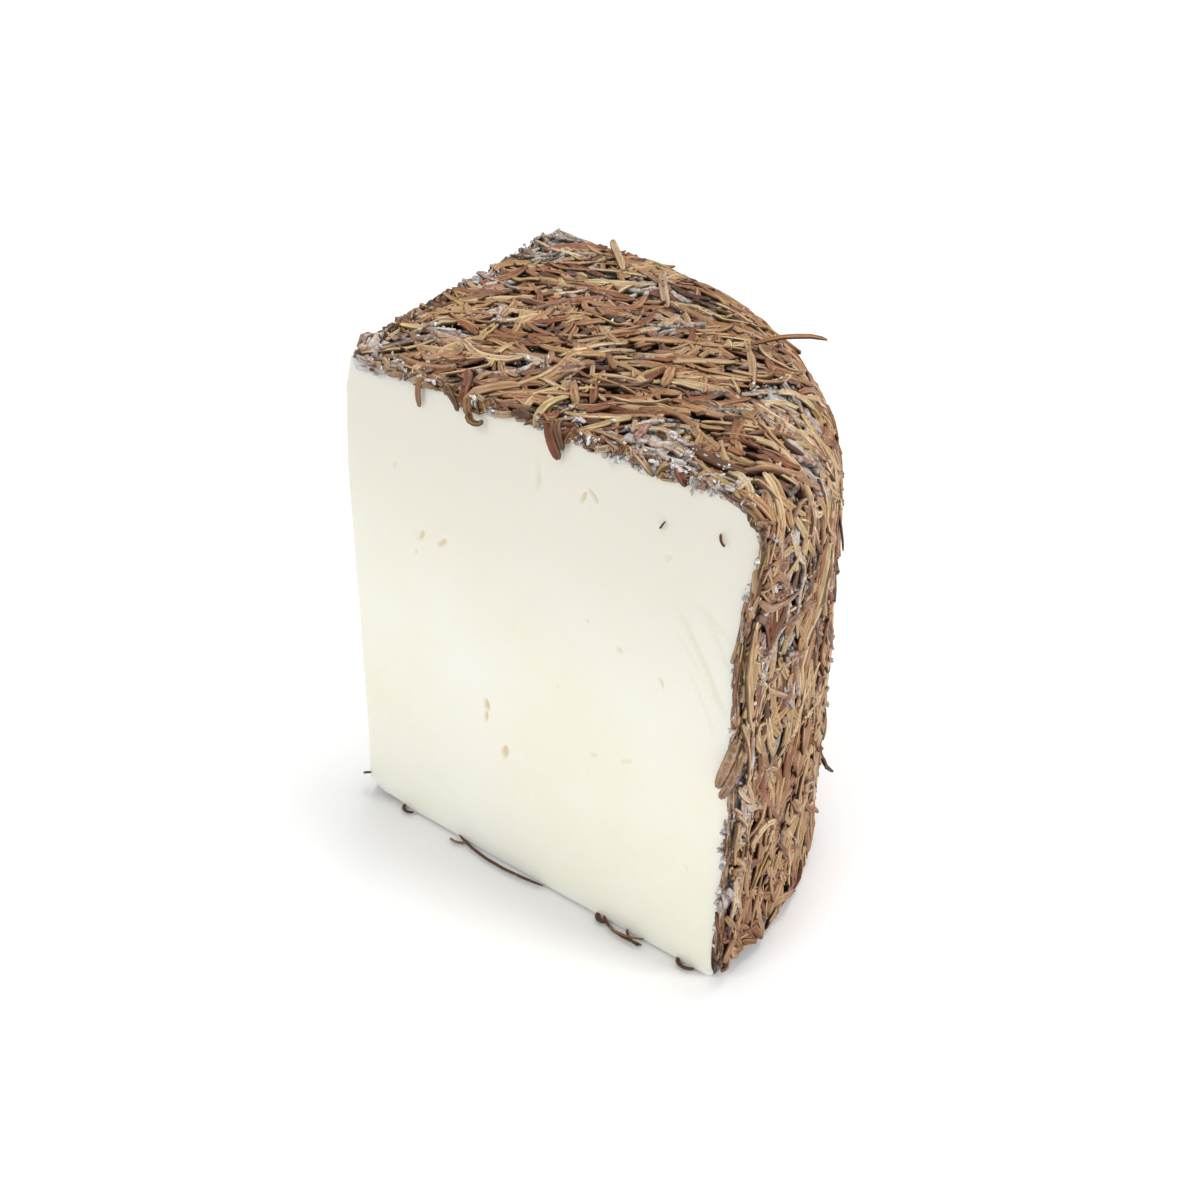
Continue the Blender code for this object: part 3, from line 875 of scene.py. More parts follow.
skin_grid = np.zeros((LAYING_ROWS, LAYING_COLUMNS, 3))
for row, turn in enumerate(np.linspace(-LAYING_PAST, CUT_ANGLE + LAYING_PAST, LAYING_ROWS)):
    line = resample(bed_line(turn, BED_THICK)[:-BASE_COLUMNS], LAYING_COLUMNS)
    skin_grid[row] = np.stack([line[:, 0] * math.cos(turn), line[:, 0] * math.sin(turn), line[:, 1]], 1)
skin_grid += grid_normals(skin_grid) * bed_lumps(skin_grid, LAYING_GROWTH)[0][..., None]
skin_flat = skin_grid.reshape(-1, 3)
skin_quads = grid_faces(LAYING_ROWS, LAYING_COLUMNS)
skin_tree = BVHTree.FromPolygons(skin_flat.tolist(), skin_quads.tolist())
corners = skin_flat[skin_quads]
diagonals = np.cross(corners[:, 2] - corners[:, 0], corners[:, 3] - corners[:, 1])
skin_areas = np.linalg.norm(diagonals, axis=1) / 2
print("laying skin:", len(skin_quads), "faces,", round(float(skin_areas.sum() / 100)), "cm2")

# %% [markdown]
# ## Which way the leaves lie
#
# The wheel was rolled and pressed by hand, so neighbours lie alike: on top with one grain, over the shoulder
# and down the side nearly upright. A steady heading, a slow swing from smooth noise, a small swing of each
# leaf's own and some that lie across give that look. Rigid-body physics could drop them, but thousands of
# thin bodies take far too long and end at random.

# %% Heading of a leaf at a place
GRAIN = math.radians(40)
SEED = 2207
LONG_SWING, STUB_SWING = 25, 60  # degrees of a leaf's own swing
LONG_CROSSING, STUB_CROSSING = 0.22, 0.5  # share of leaves that lie across
SIDE_STEADIER = 0.62
draw = random.Random(SEED)


def heading_at(place, normal, own_swing=LONG_SWING, crossing=LONG_CROSSING):
    """The way a leaf lies on the skin at a place."""
    around = Vector((place.x, place.y, 0)).normalized()
    down = around * normal.z - Vector((0, 0, 1)) * normal.dot(around)
    grain = Vector((math.cos(GRAIN), math.sin(GRAIN), 0))
    if down.dot(grain) < 0:
        grain = -grain
    steep = float(ease(1.5 * (1 - normal.z)))
    heading = grain.lerp(down, steep)
    heading -= normal * heading.dot(normal)
    slow = noise.noise(place / 17 + Vector((3, 1, 7))) * 70 + noise.noise(place / 7) * 55
    swing = slow * mix(1.0, SIDE_STEADIER, steep) + draw.gauss(0, own_swing)
    if draw.random() < crossing:
        swing += draw.choice((-1, 1)) * draw.uniform(38, 90)
    heading.normalize()
    side = normal.cross(heading)
    angle = math.radians(swing)
    return heading * math.cos(angle) + side * math.sin(angle)


# %% [markdown]
# ## Piling them up
#
# Each leaf rests on those below it. A map of small cells keeps how high the pile stands at each place. A new
# leaf reads the map under itself, lies a little springily over the high spots, and adds its own thickness.
# High piles are squeezed, as a hand would, so the coat stays 2 to 3 mm thick. Where a leaf crosses a cut it
# ends there, sliced by the knife, or hangs over a little.

# %% The map of the pile
CELL = 0.75
PILE_CAP = 1.65
SAMPLES = 22
SOFT_REACH = 3  # samples on each side that a leaf's bend is spread over
SOFTEN = np.ones(2 * SOFT_REACH + 1) / (2 * SOFT_REACH + 1)
UNDER_LEAF = (-0.36, 0, 0.36)  # where the map is read, as shares of the width
MIDDLE_OVER, TOP_OVER = 0.5, 0.8  # a leaf's middle line and its top over what it rests on, in thicknesses
pile = {}


def pile_cells(places):
    """The map's cell of each place."""
    return [tuple(cell) for cell in np.rint(np.asarray(places) / CELL).astype(int)]


def rest_on_pile(places, ups, width, thick, give):
    """Height of a leaf's middle line over the skin, and records the leaf in the map."""
    ahead = np.gradient(places, axis=0)
    side = np.cross(ahead, ups)
    side /= np.maximum(np.linalg.norm(side, axis=1), 1e-9)[:, None]
    cells = []
    under = np.zeros(len(places))
    for offset in UNDER_LEAF:
        row = pile_cells(places + side * width * offset)
        cells.append(row)
        under = np.maximum(under, [pile.get(cell, 0.0) for cell in row])
    padded = np.concatenate([np.full(SOFT_REACH, under[0]), under, np.full(SOFT_REACH, under[-1])])
    line = np.convolve(padded, SOFTEN, "valid")
    line = line + max(float((under - line).max()) - give, 0)
    base = PILE_CAP * (1 - np.exp(-line / PILE_CAP))
    for row in cells:
        for cell, top in zip(row, base + thick * TOP_OVER):
            if pile.get(cell, 0.0) < top:
                pile[cell] = float(top)
    return base + thick * MIDDLE_OVER


# %% What the knife left of a leaf
TIP_WORN = 2.6  # how far from the tip edge the coat begins


def inside_cuts(places):
    """How far inside the nearer cut, or the worn tip, each place is."""
    first = places[:, 1]
    second = places[:, 0] * math.sin(CUT_ANGLE) - places[:, 1] * math.cos(CUT_ANGLE)
    worn = places[:, 0] * math.cos(CUT_ANGLE / 2) + places[:, 1] * math.sin(CUT_ANGLE / 2) - TIP_WORN
    return np.minimum(np.minimum(first, second), worn)


def kept_part(places, overhang):
    """First and last sample that the knife left, or None where it cut the leaf's middle away."""
    inside = inside_cuts(places) > -overhang
    middle = len(places) // 2
    if not inside[middle]:
        return None
    first = middle
    while first > 0 and inside[first - 1]:
        first -= 1
    last = middle
    while last < len(places) - 1 and inside[last + 1]:
        last += 1
    return first, last


# %% Lay one leaf on the pile
SKIN_STEPS = 9
LEAST_LEFT = 6  # samples; less than that falls off
GIVE = 0.12
LEAF_GROOVES = (0.3, 0.8, 1.5, 2.3, 2.9)
LEAF_SWELL = 0.05


def leaf_record(spine, ups, width, thick, ends, roll, groove, tone=None, low=0.0):
    """What leaf_rings needs to know of one leaf; without a tone it gets one of its own."""
    return {
        "spine": spine,
        "up": ups,
        "width": width,
        "thick": thick,
        "length": float(running_length(spine)[-1]),
        "ends": ends,
        "roll": roll,
        "groove": groove,
        "swell": draw.uniform(-LEAF_SWELL, LEAF_SWELL),
        "tone": draw.random() if tone is None else tone,
        "low": low,
    }


def follow_skin(pose, length, bend):
    """Places and upward directions along a leaf that is pressed on the skin."""
    spot, heading, normal = pose
    side = heading.cross(normal)
    places, ups = [], []
    for share in np.linspace(-1, 1, SKIN_STEPS):
        aside = bend * length * (share * share - 0.3)
        wanted = spot + heading * (length / 2 * share) + side * aside
        found, up, _, _ = skin_tree.find_nearest(wanted)
        places.append(found)
        ups.append(up)
    return np.array(places), np.array(ups)


def lay_leaf(pose, length, width, bend, overhang, give=GIVE, lift=0.0, ring_shares=RING_SHARES):
    """The record of a leaf on the pile, or None where too little of it is left."""
    places, ups = follow_skin(pose, length, bend)
    shares = np.linspace(0, 1, SAMPLES)
    places, ups = along_line(places, shares), along_line(ups, shares)
    kept = kept_part(places, overhang)
    if kept is None or kept[1] - kept[0] < LEAST_LEFT:
        return None
    sliced = (kept[0] > 0, kept[1] < SAMPLES - 1)
    places, ups = places[kept[0]: kept[1] + 1], ups[kept[0]: kept[1] + 1]
    places, ups = along_line(places, shares), along_line(ups, shares)
    thick = width * draw.uniform(0.52, 0.8)
    height = rest_on_pile(places, ups, width, thick, give)
    tips = np.abs(np.linspace(-1, 1, SAMPLES)) ** 4
    tips[: SAMPLES // 2] *= draw.random()
    height = height + lift * tips
    ends = tuple(1.0 if end else draw.uniform(0.1, 0.6) for end in sliced)
    spine = along_line(places + ups * height[:, None], ring_shares)
    # how low the leaf lies in the pile: its finish paints shade on low leaves and lets bloom gather on them
    low = float(np.clip(1.15 - height.mean() / 1.5, 0, 1))
    return leaf_record(spine, along_line(ups, ring_shares), width, thick, ends, draw.gauss(0, 0.38),
                       draw.choice(LEAF_GROOVES), low=low)


# %% [markdown]
# ## The coat of leaves
#
# The leaves go on in order, short and long mixed, at places spread over the area. Five kinds keep the colours
# of the real coat apart: browns, tans, reddish ones, straw-coloured and olive ones, and dark ones, which
# mostly lie deep.

# %% Whole leaves, broken bits, and where they go
ON_TOP = 0.6  # the skin faces up this much on the wheel's top


def random_spots(count):
    """Places on the laying skin, spread evenly over its area."""
    chosen = draw.choices(range(len(skin_quads)), skin_areas.tolist(), k=count)
    corners = skin_flat[skin_quads[chosen]]
    first = np.array([draw.random() for _ in range(count)])[:, None]
    second = np.array([draw.random() for _ in range(count)])[:, None]
    return mix(mix(corners[:, 0], corners[:, 1], first), mix(corners[:, 3], corners[:, 2], first), second)


STUB_LENGTH, STUB_WIDTH = (2.2, 6.2), (0.9, 1.7)
STUB_OVERHANG, STUB_GIVE, STUB_ROLL = 0.4, 0.4, 0.7
LEAF_LENGTH, LEAF_WIDTH = (5.0, 17.5, 9.5), (1.05, 1.95, 1.4)
LEAF_BEND, HOOKED_BEND = 0.05, (0.09, 0.2)  # shares of the length


def lay_stub(spot, normal):
    """A broken bit, lying any way it likes."""
    heading = heading_at(spot, normal, STUB_SWING, STUB_CROSSING)
    length, width = draw.uniform(*STUB_LENGTH), draw.uniform(*STUB_WIDTH)
    leaf = lay_leaf((spot, heading, normal), length, width, bend=0.0, overhang=STUB_OVERHANG,
                    give=STUB_GIVE, ring_shares=SHORT_SHARES)
    if leaf is not None:
        leaf["roll"] = draw.gauss(0, STUB_ROLL)
    return leaf


def lay_long(spot, normal):
    """A whole leaf, or what the knife left of one."""
    lift = draw.uniform(0.3, 1.3) if draw.random() < 0.2 else 0.0
    if draw.random() < 0.8:
        bend = draw.gauss(0, LEAF_BEND)
    else:
        bend = draw.choice((-1, 1)) * draw.uniform(*HOOKED_BEND)
    overhang = draw.triangular(0.0, 1.2, 0.1) if normal.z > ON_TOP else draw.uniform(-0.2, 0.25)
    heading = heading_at(spot, normal)
    length, width = draw.triangular(*LEAF_LENGTH), draw.triangular(*LEAF_WIDTH)
    return lay_leaf((spot, heading, normal), length, width, bend, overhang, lift=lift)


# %% Lay the coat
LONG_LEAVES = 2500
STUBS = 1700
TORN_STRIP = 9.0  # how far from the first cut the leaves on top are mostly broken
TORN_STUBS = 0.85
SIDE_STUBS = 0.5  # the side has this share of the top's broken bits
BARE_BLOOM = 0.55  # share of leaves missing where the bloom is thickest
LOWEST_LEAF = 2.0
OVER_CUT = -0.4
KINDS = ("brown", "tan", "reddish", "straw", "dark")
EARLY_SHARES = (0.36, 0.17, 0.15, 0.05, 0.27)
LATE_SHARES = (0.40, 0.31, 0.15, 0.07, 0.07)
coat = {kind: [] for kind in KINDS}
laid = 0
wanted = LONG_LEAVES + STUBS
for place in random_spots(wanted * 2):
    if laid == wanted:
        break
    spot, normal, _, _ = skin_tree.find_nearest(Vector(place))
    if inside_cuts(place[None])[0] < OVER_CUT or spot.z < LOWEST_LEAF:
        continue
    if draw.random() < BARE_BLOOM * ease((bloom_amount(place[None])[0] - 0.6) / 0.4):
        continue
    order = laid / wanted
    stub_share = STUBS / wanted if normal.z > ON_TOP else SIDE_STUBS * STUBS / wanted
    if normal.z > ON_TOP and place[1] < TORN_STRIP:
        stub_share = mix(TORN_STUBS, stub_share, place[1] / TORN_STRIP)
    leaf = lay_stub(spot, normal) if draw.random() < stub_share else lay_long(spot, normal)
    if leaf is None:
        continue
    shares = [mix(early, late, order) for early, late in zip(EARLY_SHARES, LATE_SHARES)]
    coat[draw.choices(KINDS, shares)[0]].append(leaf)
    laid += 1
print("coat:", {kind: len(leaves) for kind, leaves in coat.items()}, "cells", len(pile))

# %% [markdown]
# ## The torn edge of the coat
#
# The knife tore the coat along the cuts. On the real cheese that edge is a band of stubs, flakes and crumbs,
# 1 to 3 mm high along the top, where a few ends hang lower, and thin down the side, where leaves lie along
# the edge of the paste. Bits are strewn along the cut's outline. On top they lie every way, and down the
# side in line with it. How low the band hangs is measured at places along the first cut.

# %% A leaf along free points
BAND_ALONG = (0, 4, 11, 17, 23, 27, 30, 34, 38, 42, 47, 54, 60, 64, 70, 75, 80, 85, 90, 94)
BAND_LOW = (98.3, 97.9, 97.9, 98.2, 98.8, 98.8, 97.5, 96.8, 98.0, 98.5,
            98.9, 98.5, 97.9, 98.9, 99.1, 98.3, 98.5, 98.8, 98.4, 96.4)
END_ON = 0.9  # a leaf that points this straight at out is turned up instead
FREE_THICK = 0.6


def smooth_line(points, count=17):
    """A smooth line through three or four points."""
    knots = np.asarray(points, float)
    run = running_length(knots)
    wanted = np.linspace(0, run[-1], count)
    power = len(knots) - 1
    return np.stack([np.polyval(np.polyfit(run, knots[:, axis], power), wanted) for axis in range(3)], 1)


def free_leaf(points, width, kind, ends, roll, groove, out, low, tone=None, ring_shares=RING_SHARES):
    """Adds a leaf through chosen points, which needn't lie on the skin, with its face turned to out."""
    spine = along_line(smooth_line(points), ring_shares)
    ahead = spine[-1] - spine[0]
    ahead /= np.linalg.norm(ahead)
    out = np.asarray(out, float)
    if abs(ahead @ out) > END_ON:
        out = np.array((0, 0, 1.0))
    up = out - ahead * (ahead @ out)
    ups = np.repeat((up / np.linalg.norm(up))[None], len(ring_shares), 0)
    thick = width * FREE_THICK
    coat[kind].append(leaf_record(spine, ups, width, thick, ends, roll, groove, tone, low))


# %% The outline of the coat on each cut
OUTLINE_START = 2.0


def cut_outline(which):
    """Places and normals of the coat's outline on a cut from tip to foot, and how far along each is."""
    points, normals = profile(0.0 if which == 0 else CUT_ANGLE, OUTLINE_START)
    points = points[normals[:, 1] > -0.5]
    normals = normals[normals[:, 1] > -0.5]
    return points, normals, running_length(points)


def outline_place(outline, where):
    """A place (along, height) on an outline and the direction into the paste there."""
    points, normals, run = outline
    spot = [np.interp(where, run, points[:, axis]) for axis in (0, 1)]
    outward = [np.interp(where, run, normals[:, axis]) for axis in (0, 1)]
    return np.array(spot), -np.array(outward)


def cut_place(which, along, out, height):
    """A place from along, out of a cut, and height."""
    return cut_alongs[which] * along + cut_outs[which] * out + np.array((0, 0, height))


outlines = (cut_outline(0), cut_outline(1))
print("outlines of the coat:", [round(float(run[-1])) for _, _, run in outlines], "mm long")

# %% Bits of the torn edge on top and down the side
SECOND_WAVER = (1.5, 0.7, 6)  # depth of the second cut's band, how much it changes, and over what length
THINNEST_BAND = 0.6
OVER_OUTLINE = 0.5  # how far a bit may stand over the coat's outline
CROWN_POINTS = 60
BIT_BOW_OUT = 0.15
BIT_SHARES = (0.40, 0.26, 0.18, 0.06, 0.10)
BIT_GROOVES = (0.2, 0.5, 1.6)


def top_bit(which, outline):
    """Middle, half step, bow, distance out, tilt, width and lowest height of a bit on top."""
    corner = float(outline[2][np.argmax(outline[1][:, 1] < ON_TOP)])
    spot, inward = outline_place(outline, draw.uniform(3.0, corner + 4))
    deep, more, apart = SECOND_WAVER
    waver = deep + more * noise.noise(Vector((spot[0] / apart, 9, 2)))
    dip = float(np.interp(spot[0], BAND_ALONG, BAND_LOW)) if which == 0 else spot[1] - waver
    band = max(spot[1] - dip, THINNEST_BAND)
    lowest = dip - draw.triangular(-0.3, 1.3, 0.0)
    width = draw.uniform(0.8, 1.6)
    middle = spot + inward * draw.triangular(-0.4, band, band * 0.35)
    swing, length = draw.gauss(0, 0.7), draw.triangular(1.8, 6.0, 3.0)
    out, tilt = draw.triangular(-2.2, 0.5 - 0.4 * which, 0.0), draw.gauss(0, 0.5)
    return middle, bit_step(inward, swing, length), inward * draw.gauss(0, 0.4), out, tilt, width, lowest


def side_bit(which, outline):
    """The same of a bit down the side, which lies nearly in line with the outline."""
    points, normals, run = outline
    corner = float(run[np.argmax(normals[:, 1] < ON_TOP)])
    spot, inward = outline_place(outline, draw.uniform(corner, run[-1] - 5))
    band = float(np.interp(spot[1], EDGE_HEIGHTS, EDGE_DEPTHS)) if which == 0 else 1.8
    width = draw.uniform(0.8, 1.6)
    middle = spot + inward * draw.uniform(-0.25, max(band - width * 0.45, -0.1))
    swing, length = draw.gauss(0, 0.12), draw.triangular(2.5, 9.0, 4.5)
    out, tilt = draw.uniform(-0.9, 0.1), draw.gauss(0, 0.15)
    return middle, bit_step(inward, swing, length), inward * draw.gauss(0, 0.12), out, tilt, width, 0.0


def bit_step(inward, swing, length):
    """From a bit's middle to its end, turned by swing from the line of the outline."""
    tangent = np.array((-inward[1], inward[0]))
    return (tangent * math.cos(swing) + inward * math.sin(swing)) * length / 2


def add_bit(which, outline, bit):
    """Adds a bit, with its ends held under the outline and over its lowest height."""
    middle, step, bow, out, tilt, width, lowest = bit
    crown = outline[0][:CROWN_POINTS]
    ends = [middle - step, middle + step]
    for end in ends:
        highest = np.interp(end[0], crown[:, 0], crown[:, 1]) + OVER_OUTLINE
        end[1] = max(min(end[1], highest), lowest)
    places = [
        cut_place(which, ends[0][0], out - tilt, ends[0][1]),
        cut_place(which, middle[0] + bow[0], out + BIT_BOW_OUT, max(middle[1] + bow[1], lowest)),
        cut_place(which, ends[1][0], out + tilt, ends[1][1]),
    ]
    kind = draw.choices(KINDS, BIT_SHARES)[0]
    ends = (draw.random() * 0.6, draw.random() * 0.6)
    free_leaf(places, width, kind, ends, draw.gauss(0, 0.8), draw.choice(BIT_GROOVES), cut_outs[which],
              low=draw.uniform(0.0, 0.4), ring_shares=SHORT_SHARES)


# %% Strew the bits along both cuts
TOP_BITS = 260
SIDE_BITS = 170
for which, outline in enumerate(outlines):
    for new_bit, count in ((top_bit, TOP_BITS), (side_bit, SIDE_BITS)):
        for _ in range(count):
            add_bit(which, outline, new_bit(which, outline))
print("edge bits:", 2 * (TOP_BITS + SIDE_BITS))

# %% [markdown]
# ## Leaves that stand out on their own
#
# The eye catches single leaves: a brown stick that leaves the shoulder, a pale one over the back, a hooked
# pale one and a big dark one over the cut's top edge, a pair that lies on the rim of the cut, and thin ones
# that lie under its foot. They are placed one by one, each as three or four points with a smooth line
# through them. Those that lie on the coat rest on the pile as the others do.

# %% Single leaves that lie on the coat: points, width, kind, tone
LAID_SINGLES = (
    (((24.1, 13.8, 99), (20.5, 21.6, 99), (21.0, 26.0, 99)), 1.6, "straw", 0.7),
    (((39.5, 7.6, 99), (40.1, 11.7, 99), (41.4, 15.3, 99)), 1.6, "straw", 0.6),
    (((40.9, 22.1, 99), (44.8, 24.4, 99), (49.6, 25.7, 99)), 1.6, "tan", 0.7),
    (((21.0, 28.8, 99), (27.7, 30.8, 99), (36.7, 29.8, 99)), 1.6, "brown", 0.6),
    (((14.6, 20.3, 99), (12.9, 24.8, 99), (11.4, 29.1, 99)), 1.7, "straw", 0.4),
    (((16.5, 35.8, 99), (11.6, 41.1, 99), (4.8, 48.6, 99)), 1.5, "reddish", 0.6),
    (((17.1, 47.3, 99), (15.0, 51.4, 99), (10.9, 55.4, 99)), 1.1, "straw", 0.5),
    (((28.3, 59.9, 99), (35.5, 59.2, 99), (43.7, 56.0, 99)), 1.7, "brown", 0.5),
    (((30.0, 58.1, 99), (24.5, 63.7, 99), (16.4, 73.7, 99)), 2.1, "tan", 0.3),
    (((54.0, 53.2, 99), (59.2, 46.8, 99), (65.5, 38.3, 99)), 1.7, "tan", 0.5),
    (((44.0, 49.4, 99), (51.2, 48.1, 99), (56.8, 45.8, 99)), 1.5, "brown", 0.7),
    (((42.1, 38.7, 99), (48.2, 41.0, 99), (56.1, 40.7, 99)), 1.4, "brown", 0.3),
    (((41.4, 33.8, 99), (46.9, 37.7, 99), (54.2, 43.2, 99)), 1.4, "reddish", 0.5),
    (((47.3, 27.6, 99), (50.9, 25.6, 99), (51.8, 22.1, 99)), 1.5, "tan", 0.8),
    (((50.1, 34.2, 99), (52.0, 30.8, 99), (53.8, 27.2, 99)), 2.2, "brown", 0.8),
    (((55.7, 36.2, 99), (58.2, 33.3, 99), (60.5, 30.3, 99)), 1.6, "tan", 0.2),
    (((65.2, 5.4, 99), (64.2, 8.3, 99), (63.4, 11.5, 99)), 1.6, "reddish", 0.9),
    (((49.1, 34.4, 99), (53.9, 35.6, 99), (60.7, 35.6, 99)), 1.4, "brown", 0.6),
    (((52.8, 16.3, 99), (57.6, 18.7, 99), (62.9, 19.5, 99)), 1.5, "tan", 0.4),
    (((60.3, 23.6, 99), (66.5, 24.2, 99), (73.3, 25.6, 99)), 1.4, "brown", 0.7),
    (((68.4, 29.3, 99), (77.3, 24.1, 99), (84.4, 21.0, 98)), 1.7, "brown", 0.6),
    (((69.0, 33.4, 98), (75.6, 28.4, 98), (81.6, 26.1, 97)), 1.6, "brown", 0.3),
    (((73.7, 37.7, 96), (76.6, 33.0, 97), (80.7, 26.5, 98)), 1.6, "tan", 0.5),
    (((41.1, 21.9, 99), (44.7, 24.2, 99), (49.2, 26.2, 99)), 1.5, "tan", 0.5),
    (((29.9, 2.2, 99), (33.8, 5.2, 99), (39.4, 6.0, 99)), 1.7, "brown", 0.7),
    (((31.8, 9.9, 99), (34.8, 12.8, 99), (38.1, 13.6, 99)), 1.4, "brown", 0.4),
    (((15.5, 6.1, 99), (15.6, 3.5, 99), (17.0, 0.8, 99)), 1.4, "tan", 0.5),
    (((42.2, 19.7, 99), (44.2, 18.3, 99), (45.0, 15.6, 99)), 1.6, "tan", 0.3),
    (((43.1, 20.5, 99), (46.3, 16.9, 99), (49.2, 12.9, 99)), 1.7, "reddish", 0.7),
    (((-2.0, 29.9, 99), (-1.2, 24.6, 99), (-0.6, 19.7, 99)), 1.5, "brown", 0.8),
    (((9.2, 38.9, 99), (13.5, 33.3, 99), (16.7, 28.0, 99)), 1.6, "straw", 0.3),
    (((28.3, 26.0, 99), (30.0, 23.5, 99), (31.7, 20.7, 99)), 1.7, "brown", 0.5),
    (((69.5, 17.5, 99), (70.2, 15.2, 99), (73.6, 13.3, 99), (78.6, 10.3, 99)), 1.9, "tan", 0.2),
    (((74.5, 9.2, 99), (81.4, 6.5, 99), (87.3, 6.6, 99)), 2.2, "dark", 0.5),
    (((75.2, 14.7, 99), (78.8, 16.3, 99), (82.9, 16.4, 99)), 2.0, "reddish", 0.2),
    (((79.8, 11.4, 99), (81.0, 11.8, 99), (82.6, 11.8, 99)), 2.0, "reddish", 0.8),
    (((88.6, 5.9, 99), (89.4, 3.0, 99), (89.8, 0.8, 99)), 1.5, "tan", 0.7),
    (((88.3, 9.9, 99), (92.3, 8.5, 98.2), (94.9, 6.7, 95.5), (95.8, 4.6, 91.5)), 1.8, "tan", 0.8),
    (((90.1, 0.6, 100), (93.8, 0.9, 98.0), (95.5, 2.4, 95.3), (96.2, 2.5, 92.0)), 1.9, "brown", 0.7),
    (((77.3, 35.2, 95.3), (80.5, 38.3, 90.8), (83.3, 39.1, 85.5), (83.9, 40.5, 79.0)), 1.7, "tan", 0.9),
    (((83.0, 43.0, 41.7), (87.9, 31.4, 42.7), (90.8, 20.9, 43.8), (91.9, 14.5, 41.5)), 1.5, "tan", 0.9),
    (((91.1, 19.1, 37.2), (91.2, 18.0, 32.0), (91.4, 16.6, 28.3)), 1.6, "tan", 0.5),
    (((94.3, 0.6, 76.5), (93.3, 0.9, 69.8), (93.1, 1.0, 63.1), (93.0, 3.3, 54.5)), 2.0, "tan", 0.4),
    (((93.5, 2.7, 71.4), (92.7, 8.5, 65.8), (92.3, 12.5, 60.7)), 1.3, "brown", 0.9),
    (((94.9, 6.4, 80.8), (93.6, 8.9, 74.1), (92.9, 9.0, 68.6)), 1.2, "tan", 1.0),
    (((95.4, 0.2, 82.5), (94.3, 6.5, 78.2), (93.2, 14.2, 77.0)), 1.9, "brown", 0.5),
    (((96.3, 0.6, 92.9), (96.1, 1.6, 87.6), (95.3, 2.0, 82.2)), 1.5, "dark", 0.9),
    (((95.8, 3.0, 85.5), (95.9, 5.3, 87.8), (94.7, 12.7, 86.3)), 1.4, "straw", 0.6),
    (((95.3, 6.4, 83.1), (95.0, 9.6, 83.7), (94.7, 12.3, 85.5)), 1.3, "straw", 0.4),
    (((94.3, 14.5, 84.7), (93.5, 15.3, 79.0), (92.0, 17.6, 71.0)), 1.7, "brown", 0.6),
    (((90.6, 23.8, 90.4), (90.7, 26.1, 84.5), (93.0, 19.5, 81.8)), 1.6, "brown", 0.8),
    (((90.6, 19.4, 94.6), (92.7, 18.1, 92.0), (94.6, 14.0, 89.6)), 1.6, "brown", 0.3),
    (((95.7, 7.8, 91.6), (94.9, 10.6, 93.2), (92.5, 18.1, 92.6)), 1.7, "brown", 0.5),
    (((92.7, 9.0, 61.3), (92.7, 8.2, 59.0), (92.8, 6.8, 54.0)), 1.5, "tan", 0.6),
    (((91.4, 18.1, 51.8), (92.0, 14.3, 51.5), (92.5, 10.4, 52.2)), 1.6, "tan", 0.3),
    (((92.4, 12.0, 64.7), (92.1, 14.2, 61.5), (91.7, 16.5, 58.2)), 1.7, "tan", 0.2),
    (((92.9, 2.0, 40.1), (92.6, 6.6, 36.2), (92.1, 12.2, 34.7)), 1.6, "brown", 0.7),
    (((91.1, 17.6, 23.8), (91.6, 13.1, 19.9), (91.9, 9.9, 15.3)), 1.6, "straw", 0.2),
    (((89.7, 24.0, 20.3), (90.4, 19.8, 14.5), (90.8, 17.3, 10.7)), 1.5, "tan", 0.4),
    (((92.5, 5.8, 29.0), (92.4, 5.6, 22.4), (92.2, 5.9, 16.0)), 1.4, "tan", 0.3),
    (((92.6, 0.8, 25.8), (92.4, 1.7, 20.2), (92.3, 0.9, 14.6)), 1.4, "tan", 0.7),
    (((88.0, 30.7, 33.5), (86.6, 34.6, 27.7), (85.3, 37.5, 23.3)), 1.4, "brown", 0.2),
    (((88.8, 28.6, 55.2), (89.3, 27.0, 49.8), (89.2, 27.3, 43.8)), 1.5, "tan", 0.6),
    (((83.7, 36.0, 88.7), (84.1, 38.2, 84.8), (82.5, 43.0, 80.3)), 1.8, "straw", 0.8),
    (((91.3, 19.6, 67.2), (90.2, 23.5, 59.5), (90.6, 21.8, 55.6)), 1.5, "brown", 0.5),
    (((91.5, 22.3, 75.4), (90.4, 24.3, 68.8), (89.2, 27.4, 61.5)), 1.6, "brown", 0.4),
    (((92.9, 6.2, 52.5), (92.5, 9.6, 46.4), (92.4, 11.0, 42.1)), 1.5, "brown", 0.6),
)


SINGLE_GIVE = 0.15
SINGLE_THICK = 0.72
SINGLE_ENDS = (0.1, 0.15)
SINGLE_GROOVES = (0.15, 0.45, 1.6)


def lay_single(points, width, kind, tone):
    """A chosen leaf on top of the pile."""
    line = smooth_line(points, SAMPLES)
    found = [skin_tree.find_nearest(Vector(place))[:2] for place in line]
    places = along_line(np.array([place for place, up in found]), np.linspace(0, 1, SAMPLES))
    ups = np.array([up for place, up in found])
    thick = width * SINGLE_THICK
    height = rest_on_pile(places, ups, width, thick, SINGLE_GIVE)
    spine = along_line(places + ups * height[:, None], RING_SHARES)
    coat[kind].append(leaf_record(spine, along_line(ups, RING_SHARES), width, thick, SINGLE_ENDS,
                                  draw.gauss(0, 0.25), draw.choice(SINGLE_GROOVES), tone))


for points, width, kind, tone in LAID_SINGLES:
    lay_single(points, width, kind, tone)

